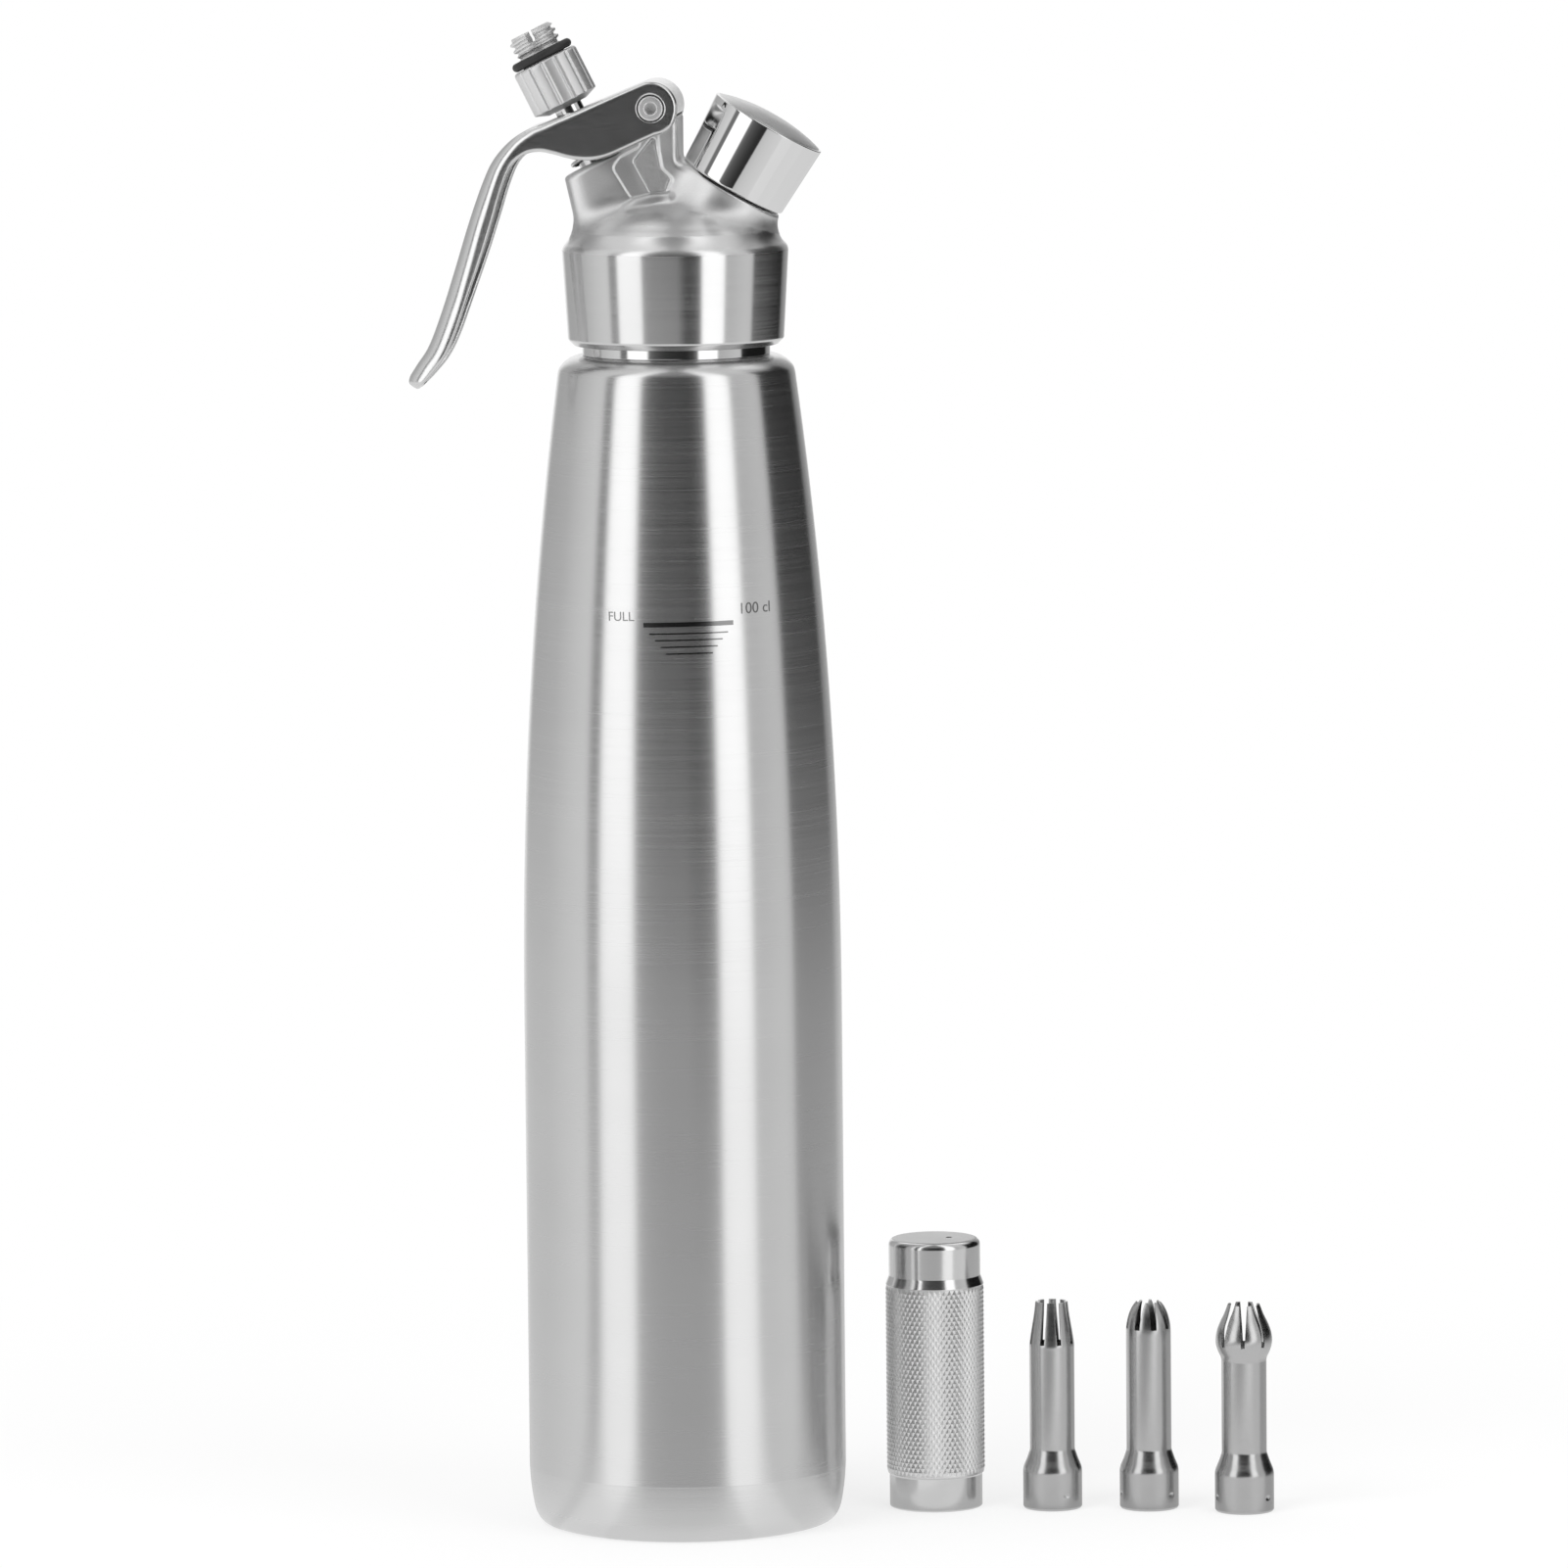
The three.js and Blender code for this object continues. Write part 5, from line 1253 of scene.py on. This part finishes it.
# %% Stem and seals
STEM_TOP, STEM_BORE, INLET = 24.6, 2.0, -22.7
stem_outline = rounded([
    (0, -28.3, 0), (2.2, -28.3, 0.3), (2.2, -24.15, 0.1), (3, -24.15, 0.1), (3, -21.2, 0.2),
    (4.2, -20, 0.2), (4.2, -17.35, 0.1), (3, -17.35, 0.1), (3, -14.95, 0.1), (4.2, -14.95, 0.1),
    (4.2, 8.4, 0.3), (3.6, 8.4, 0.1), (3.6, STEM_TOP, 0.2), (STEM_BORE, STEM_TOP, 0.2),
    (STEM_BORE, INLET, 0.1), (0, INLET, 0)], 3, 0.1)
stem_blank = turned("valve_stem_turned", stem_outline, 64, place=on_valve)
inlet_outline = [(0, -6), (1.4, -6), (1.4, 6), (0, 6)]
inlet = turned("stem_inlet", inlet_outline, 32, place=lambda points: on_valve(
    np.stack([points[:, 0], points[:, 2], points[:, 1] + INLET], 1)))
place_piece("valve_stem_turned", carved(stem_blank, [inlet], 40), polished_stainless, "valve",
            ["valve_stem"])
place_piece("stem_o_ring_round",
            turned("stem_o_ring_round", round_ring(3.75, 1.2, -16.15, 14), 48, loop=True,
                   place=on_valve), nitrile_rubber, "valve", ["stem_o_ring"])
ring_piece("guide_bush_turned", 4.5, 5.8, -20, -12.3, 0.3, 64, on_valve, yellow_brass,
           "head", "valve_guide_bush", "brass")
ring_piece("poppet_seal_moulded", 2.5, 7.2, -26, -24.3, 0.4, 64, on_valve, nitrile_rubber,
           "valve", "poppet_seal", "black_rubber")
ring_piece("poppet_disc_turned", 2.5, 7.2, -28.3, -26.3, 0.3, 64, on_valve, turned_adapter,
           "valve", "poppet_disc", "satin_steel")
ring_piece("thrust_washer_turned", 3.9, 6.5, 8.7, 10.3, 0.25, 64, on_valve, turned_adapter,
           "valve", "thrust_washer", "satin_steel")
print("stem outline points:", len(stem_outline))

# %% [markdown]
# ## The return spring
# Seven turns of round wire press the valve shut. A helix is one line wound round the axis, and
# the wire is a circle carried along it.


# %% Coil
def coil(name, mean, wire, low, high, turns, steps=56, around=12):
    """A round wire along a helix. The rise over one turn is eased at both ends, so that the
    last curls lie flat, and the wire's section stays square to the way it runs."""
    share = np.linspace(0, 1, int(turns * steps))
    angle = share * turns * 2 * np.pi
    flat = 1.0 / turns
    eased = np.clip((share - flat / 2) / (1 - flat), 0, 1)
    height = low + wire / 2 + (high - low - wire) * eased
    centre = np.stack([mean * np.cos(angle), mean * np.sin(angle), height], 1)
    along = np.gradient(centre, axis=0)
    along /= np.linalg.norm(along, axis=1)[:, None]
    outward = np.stack([np.cos(angle), np.sin(angle), 0 * angle], 1)
    upward = np.cross(along, outward)
    turn = np.linspace(0, 2 * np.pi, around, endpoint=False)
    skin = (centre[:, None] + wire / 2 * (np.cos(turn)[None, :, None] * outward[:, None]
                                          + np.sin(turn)[None, :, None] * upward[:, None]))
    points = np.vstack([skin.reshape(-1, 3), centre[:1], centre[-1:]])
    number = np.arange(len(share) * around).reshape(-1, around)
    quads = np.stack([number[:-1], np.roll(number[:-1], -1, 1), np.roll(number[1:], -1, 1),
                      number[1:]], -1).reshape(-1, 4)
    first, last = number[0], number[-1]
    start = np.stack([np.full(around, len(points) - 2), np.roll(first, -1), first], 1)
    end = np.stack([np.full(around, len(points) - 1), last, np.roll(last, -1)], 1)
    return make_mesh(name, on_valve(points), [quads, np.vstack([start, end])])


# %% Return spring
SPRING_RADIUS, SPRING_WIRE, SPRING_TURNS = 5.6, 1.1, 7
SPRING_FOOT, SPRING_HEAD, VALVE_STROKE = -11.7, 8.4, 4.6
wound = coil("return_spring_wound", SPRING_RADIUS, SPRING_WIRE, SPRING_FOOT, SPRING_HEAD, SPRING_TURNS)
spring = place_piece("return_spring_wound", wound, polished_stainless, "head", ["return_spring"])
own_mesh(spring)

# %% [markdown]
# ## The charger port
# A screwed spigot stands in the boss, with a hollow needle and a gasket in the middle. A
# chromed cap closes it. The cap's side is a mirror that widens a little upwards, and its
# crown is a shallow satin dome inside a thin bright rim, so it gets a material of its own.

# %% Spigot
SPIGOT_ROOT, SPIGOT_CREST, SPIGOT_PITCH = 9.6, 10.5, 2.0
spigot_outline = np.vstack([
    rounded([(2.3, 0, 0), (2.3, -7, 0.2), (8, -7, 0.4), (8, 0.3, 0.2), (SPIGOT_ROOT, 0.3, 0.3),
             (SPIGOT_ROOT, 1.2, 0)]),
    between(SPIGOT_ROOT, 1.4, 10.4, 0.18),
    rounded([(SPIGOT_ROOT, 10.6, 0), (SPIGOT_ROOT, 11.3, 0.4), (6.2, 11.3, 0.4), (6.2, 3, 0.3),
             (2.3, 3, 0.2), (2.3, 0.1, 0)])])
spigot_thread = thread_shape(SPIGOT_ROOT, SPIGOT_CREST, SPIGOT_PITCH, 1.5, 10.3)
place_piece("port_spigot_turned",
            turned("port_spigot_turned", spigot_outline, 120, loop=True, shape=spigot_thread,
                   place=on_port), turned_adapter, "head", ["port_spigot"])
print("spigot outline points:", len(spigot_outline))

# %% Needle, gaskets and check valve
needle_outline = rounded([(0.6, 0, 0), (0.6, -7, 0.1), (2, -7, 0.2), (2, 4.4, 0.6), (1.0, 8.9, 0.1),
                          (0.6, 8.9, 0.05), (0.6, 0.1, 0)], 4, 0.1)
place_piece("piercing_pin_ground",
            turned("piercing_pin_ground", needle_outline, 40, loop=True, place=on_port),
            polished_stainless, "head", ["piercing_pin"])
ring_piece("port_gasket_moulded", 2.3, 5.9, 3.3, 4.7, 0.3, 64, on_port, nitrile_rubber,
           "head", "port_gasket", "black_rubber")
check_outline = rounded([(0, -18.5, 0), (3.4, -18.5, 0.3), (3.4, -17.3, 0.3), (1.6, -17.3, 0.4),
                         (1.6, -8.6, 0.4), (0, -8.6, 0)], 4, 0.1)
place_piece("gas_check_valve_moulded",
            turned("gas_check_valve_moulded", check_outline, 48, place=on_port),
            nitrile_rubber, "check_valve", ["gas_check_valve"])
seal_outline = rounded([(0, 11.6, 0), (SPIGOT_ROOT, 11.6, 0.4), (SPIGOT_ROOT, 13, 0.4), (0, 13, 0)],
                       4, 0.1)
place_piece("cap_seal_moulded", turned("cap_seal_moulded", seal_outline, 72, place=on_port),
            nitrile_rubber, "cap_seal", ["cap_seal"])

# %% Outline and thread of the cap
CAP_FOOT, CAP_TOP, CAP_LOW_RADIUS, CAP_HIGH_RADIUS, CAP_BORE = 0.6, 19.2, 13.95, 15.05, 11.1
crown = smooth_curve([(14.45, 19.15), (13.2, 19.62), (10.5, 20.30), (6, 21.05), (0, 21.4)], 6)
cap_outline = np.vstack([
    [(0, 13.3)], rounded([(9, 13.3, 0), (CAP_BORE, 13.3, 0.5), (CAP_BORE, 12.2, 0)]),
    between(CAP_BORE, 12.0, 1.4, 0.2),
    rounded([(CAP_BORE, 1.2, 0), (CAP_BORE, CAP_FOOT, 0.2), (CAP_LOW_RADIUS, CAP_FOOT, 0.5),
             (CAP_HIGH_RADIUS, CAP_TOP - 0.1, 0.35), (14.6, CAP_TOP, 0)], 6, 0.25), crown])


def cap_thread(angle, radius, height):
    """The cap's own thread, standing inwards from its bore."""
    phase = (height / SPIGOT_PITCH - angle / (2 * np.pi) + 0.5) % 1.0
    ridge = np.clip(1.6 - 4.2 * np.abs(phase - 0.5), 0, 1)
    ends = np.clip(height - 1.6, 0, 1) * np.clip(11 - height, 0, 1)
    return np.where(np.abs(radius - CAP_BORE) < 1e-3, CAP_BORE - 0.5 * ridge * ends, radius)


print("cap outline points:", len(cap_outline))


# %% Cap
CROWN_RADIUS = 14.3


def face_middles(mesh):
    """The middle of every face, in millimetres."""
    spots = np.zeros(len(mesh.polygons) * 3)
    mesh.polygons.foreach_get("center", spots)
    return spots.reshape(-1, 3) / MM


cap_mesh = turned("protective_cap_chromed", cap_outline, 160, shape=cap_thread, place=on_port)
place_piece("protective_cap_chromed", cap_mesh, chrome, "cap", ["protective_cap"])
cap_mesh.materials.append(chrome_crown)
spots = face_middles(cap_mesh)
across, along = on_axis(spots[:, 0], spots[:, 2], PORT_SEAT, PORT_LEAN)
on_crown = (np.hypot(across, spots[:, 1]) < CROWN_RADIUS) & (along > CAP_TOP - 0.2)
cap_mesh.polygons.foreach_set("material_index", on_crown.astype(np.int32))
print("faces of the satin crown:", int(on_crown.sum()))

# %% [markdown]
# ## The charger holder
# Turned from aluminium bar, with a diamond knurl rolled into the grip. The knurl is a grid of
# half a pitch: its points are high and low like the fields of a chessboard, and each square
# is split along its low corners. Four such triangles make one pyramid of the knurl. The
# flats between them are real ones, so the knurl is shaded flat.

# %% Holder
HOLDER_X, HOLDER_Y, HOLDER_HEIGHT, VENT_OFFSET = 61.7, 20.6, 69, 3.76


def standing(x, y):
    """Moves a piece from the origin to its place on the table."""
    return lambda points: np.asarray(points, float) + np.array([x, y, 0.0])


holder_outline = rounded([
    (9.4, 30, 0), (9.4, 12, 0.2), (10.8, 11.3, 0.2), (10.8, 0, 0.2), (11.8, 0, 0.4), (11.8, 8.4, 0.25),
    (12.2, 8.8, 0.1), (12.2, 57.0, 0.1), (12.45, 57.1, 0.1), (12.45, 57.3, 0.1), (11.65, 59.5, 0.5),
    (11.65, HOLDER_HEIGHT, 1.7), (0, HOLDER_HEIGHT, 0)], 6, 0.15)
holder_inside = rounded([(0, 64, 0), (5.6, 64, 0.3), (9.4, 60.2, 0.3), (9.4, 30.2, 0)], 4, 0.1)
holder_blank = turned("charger_holder_turned", np.vstack([holder_inside, holder_outline]), 128,
                      place=standing(HOLDER_X, HOLDER_Y))
vent = turned("holder_vent", [(0, 62), (0.8, 62), (0.8, 71), (0, 71)], 32,
              place=standing(HOLDER_X + VENT_OFFSET, HOLDER_Y))
holder_mesh = carved(holder_blank, [vent], 30)
place_piece("charger_holder_turned", holder_mesh, turned_aluminium, "charger_holder",
            ["charger_holder"])
holder_mesh.materials.append(faced_aluminium)
on_top = face_middles(holder_mesh)[:, 2] > HOLDER_HEIGHT - 0.3
holder_mesh.polygons.foreach_set("material_index", on_top.astype(np.int32))
print("faces of the holder's end:", int(on_top.sum()))

# %% Knurl
GRIP_RADIUS, GRIP_LOW, GRIP_HIGH = 12.5, 9.0, 57.0
DIAMOND_WIDTH, DIAMOND_HEIGHT, KNURL_DEPTH = 1.35, 2.3, 0.26


def knurl(name, radius, low, high, width, tall, depth):
    """A sleeve of pyramids. Points whose column and row add up to an odd number are high,
    the others are low, and both end rows are low and run into the core."""
    columns = 2 * int(round(2 * np.pi * radius / width))
    rows = 2 * int(round((high - low) / tall)) + 1
    i, j = np.meshgrid(np.arange(columns), np.arange(rows), indexing="ij")
    angle = i / columns * 2 * np.pi
    peak = ((i + j) % 2 == 1) & (j > 0) & (j < rows - 1)
    out = np.where(peak, radius, radius - depth)
    height = low + (high - low) * j / (rows - 1)
    skin = np.stack([out * np.cos(angle), out * np.sin(angle), height], -1).reshape(-1, 3)
    core = radius - depth - 0.5
    rims = [np.stack([core * np.cos(angle[:, 0]), core * np.sin(angle[:, 0]),
                      np.full(columns, h)], 1) for h in (low, high)]
    number = i * rows + j
    a, b = number[:, :-1], np.roll(number, -1, 0)[:, :-1]
    c, d = np.roll(number, -1, 0)[:, 1:], number[:, 1:]
    even = ((i + j) % 2 == 0)[:, :-1, None]
    first = np.where(even, np.stack([a, b, c], -1), np.stack([a, b, d], -1)).reshape(-1, 3)
    second = np.where(even, np.stack([a, c, d], -1), np.stack([b, c, d], -1)).reshape(-1, 3)
    base = len(skin)
    low_rim, high_rim = base + np.arange(columns), base + columns + np.arange(columns)
    floor = np.stack([low_rim, np.roll(low_rim, -1), np.roll(number[:, 0], -1), number[:, 0]], 1)
    lid = np.stack([number[:, -1], np.roll(number[:, -1], -1), np.roll(high_rim, -1), high_rim], 1)
    inner = np.stack([high_rim, np.roll(high_rim, -1), np.roll(low_rim, -1), low_rim], 1)
    points = standing(HOLDER_X, HOLDER_Y)(np.vstack([skin, *rims]))
    mesh = make_mesh(name, points, [np.vstack([first, second]), np.vstack([floor, lid, inner])])
    mesh.shade_flat()
    return mesh


grip = knurl("holder_knurl", GRIP_RADIUS, GRIP_LOW, GRIP_HIGH, DIAMOND_WIDTH, DIAMOND_HEIGHT,
             KNURL_DEPTH)
place_piece("holder_knurl", grip, rolled_aluminium, "charger_holder", ["charger_holder"])
print("knurl faces:", len(grip.polygons))

# %% [markdown]
# ## The nozzles
# Three tips drawn from thin steel tube: the foot is flared over a threaded insert and held
# by three crimps, and the other end is slit into fingers and pressed to shape. One function makes
# all three: only the outline of the tip and the slots change.

# %% Crimps and walls
NOZZLE_HEIGHT, NOZZLE_WALL, TUBE_RADIUS, FOOT_RADIUS = 53.0, 0.5, 5.7, 7.5
FINGER_COUNT = 8
CRIMP_COUNT, CRIMP_HEIGHT, CRIMP_RADIUS, CRIMP_DEPTH = 3, 3.9, 0.85, 0.3


def crimps(at):
    """Round dents across the foot, each a smooth bowl; at turns the first of them."""
    share = 2 * np.pi / CRIMP_COUNT

    def shape(angle, radius, height):
        turn = ((angle - at) / share + 0.5) % 1.0 - 0.5
        away = np.hypot(turn * share * FOOT_RADIUS, (height - CRIMP_HEIGHT) * 1.5)
        bowl = CRIMP_DEPTH * np.clip(1 - (away / CRIMP_RADIUS) ** 2, 0, 1)
        return np.where(radius > FOOT_RADIUS - 0.9, radius - bowl, radius)
    return shape


def thickened(outer, wall):
    """The inner side of a thin wall: each point moves square to the outline."""
    along = np.gradient(outer, axis=0)
    along /= np.linalg.norm(along, axis=1)[:, None]
    return outer + wall * np.stack([-along[:, 1], along[:, 0]], 1)


print("nozzle wall:", NOZZLE_WALL, "mm")


# %% Nozzles
def nozzle(kind, place, tip, width, turn, floor, narrow, dent):
    """The wall is turned from its outline, then slots are cut from the floor upwards. turn and
    dent are in degrees from the side that faces the camera."""
    foot = rounded([(FOOT_RADIUS - 0.3, 0.05, 0), (FOOT_RADIUS, 0.5, 0.3), (FOOT_RADIUS, 10.3, 5.0),
                    (6.5, 12.7, 1.5), (TUBE_RADIUS, 15.0, 2.5), (TUBE_RADIUS, 38.5, 0)], 7, 0.2)
    rows = between(FOOT_RADIUS, 0.9, 7.2, 0.22)
    split = np.argmax(foot[:, 1] > 0.85)
    outer = np.vstack([foot[:split], rows, foot[split:][foot[split:, 1] > 7.4], tip])
    inner = thickened(outer, NOZZLE_WALL)[::-1]
    name = kind + "_nozzle_drawn"
    blank = turned(name, np.vstack([outer, inner]), 180, loop=True,
                   shape=crimps(math.radians(dent - 90)), place=place)
    cutters = [prism(name + "_slot", width, floor, NOZZLE_HEIGHT + 1, 1.0, 9.3,
                     math.radians(turn - 90 + 360 * (k + 0.5) / FINGER_COUNT), narrow, place)
               for k in range(FINGER_COUNT)]
    place_piece(name, carved(blank, cutters, 40), drawn_stainless, kind + "_nozzle",
                [kind + "_nozzle"])


straight_tip = smooth_curve([(5.7, 41), (5.68, 42.2), (5.35, 44.6), (4.95, 47), (4.45, 50), (4.1, 53)], 5)
dome_tip = smooth_curve([(5.7, 43), (5.66, 46.0), (5.4, 48.0), (4.85, 50.0), (4.05, 51.7),
                         (3.1, 53)], 5)
bulb_tip = smooth_curve([(5.7, 38.7), (5.9, 39.6), (6.55, 41.0), (7.05, 42.6), (7.17, 44.2),
                         (6.85, 46.2), (6.1, 48.2), (5.05, 50.4), (4.1, 53)], 5)
NOZZLE_PLACES = {"straight": standing(91.6, 18.3), "dome": standing(116.2, 18.7),
                 "bulb": standing(140.6, 14.5)}
nozzle("straight", NOZZLE_PLACES["straight"], straight_tip, 1.4, 0.0, 42.3, 0.8, 31)
nozzle("dome", NOZZLE_PLACES["dome"], dome_tip, 1.8, -5.5, 46.2, 0.8, 52)
nozzle("bulb", NOZZLE_PLACES["bulb"], bulb_tip, 2.1, 22.5, 42.5, 0.45, -65)
print("fingers on each nozzle:", FINGER_COUNT)


# %% Inserts
def insert(kind, place):
    """The threaded sleeve inside the foot, with its thread on the inner side."""
    shape = thread_shape(6.3, 5.95, SPOUT_PITCH, 1.8, 8.8)
    outline = np.vstack([[(6.85, 1.4), (6.85, 9.2), (6.75, 9.3), (6.4, 9.3)],
                         between(6.3, 9.2, 1.4, 0.2), [(6.4, 1.3), (6.75, 1.3)]])
    name = kind + "_nozzle_insert_turned"
    place_piece(name, turned(name, outline, 72, loop=True, shape=shape, place=place),
                turned_aluminium, kind + "_nozzle", [kind + "_nozzle_insert"])


for kind, place in NOZZLE_PLACES.items():
    insert(kind, place)
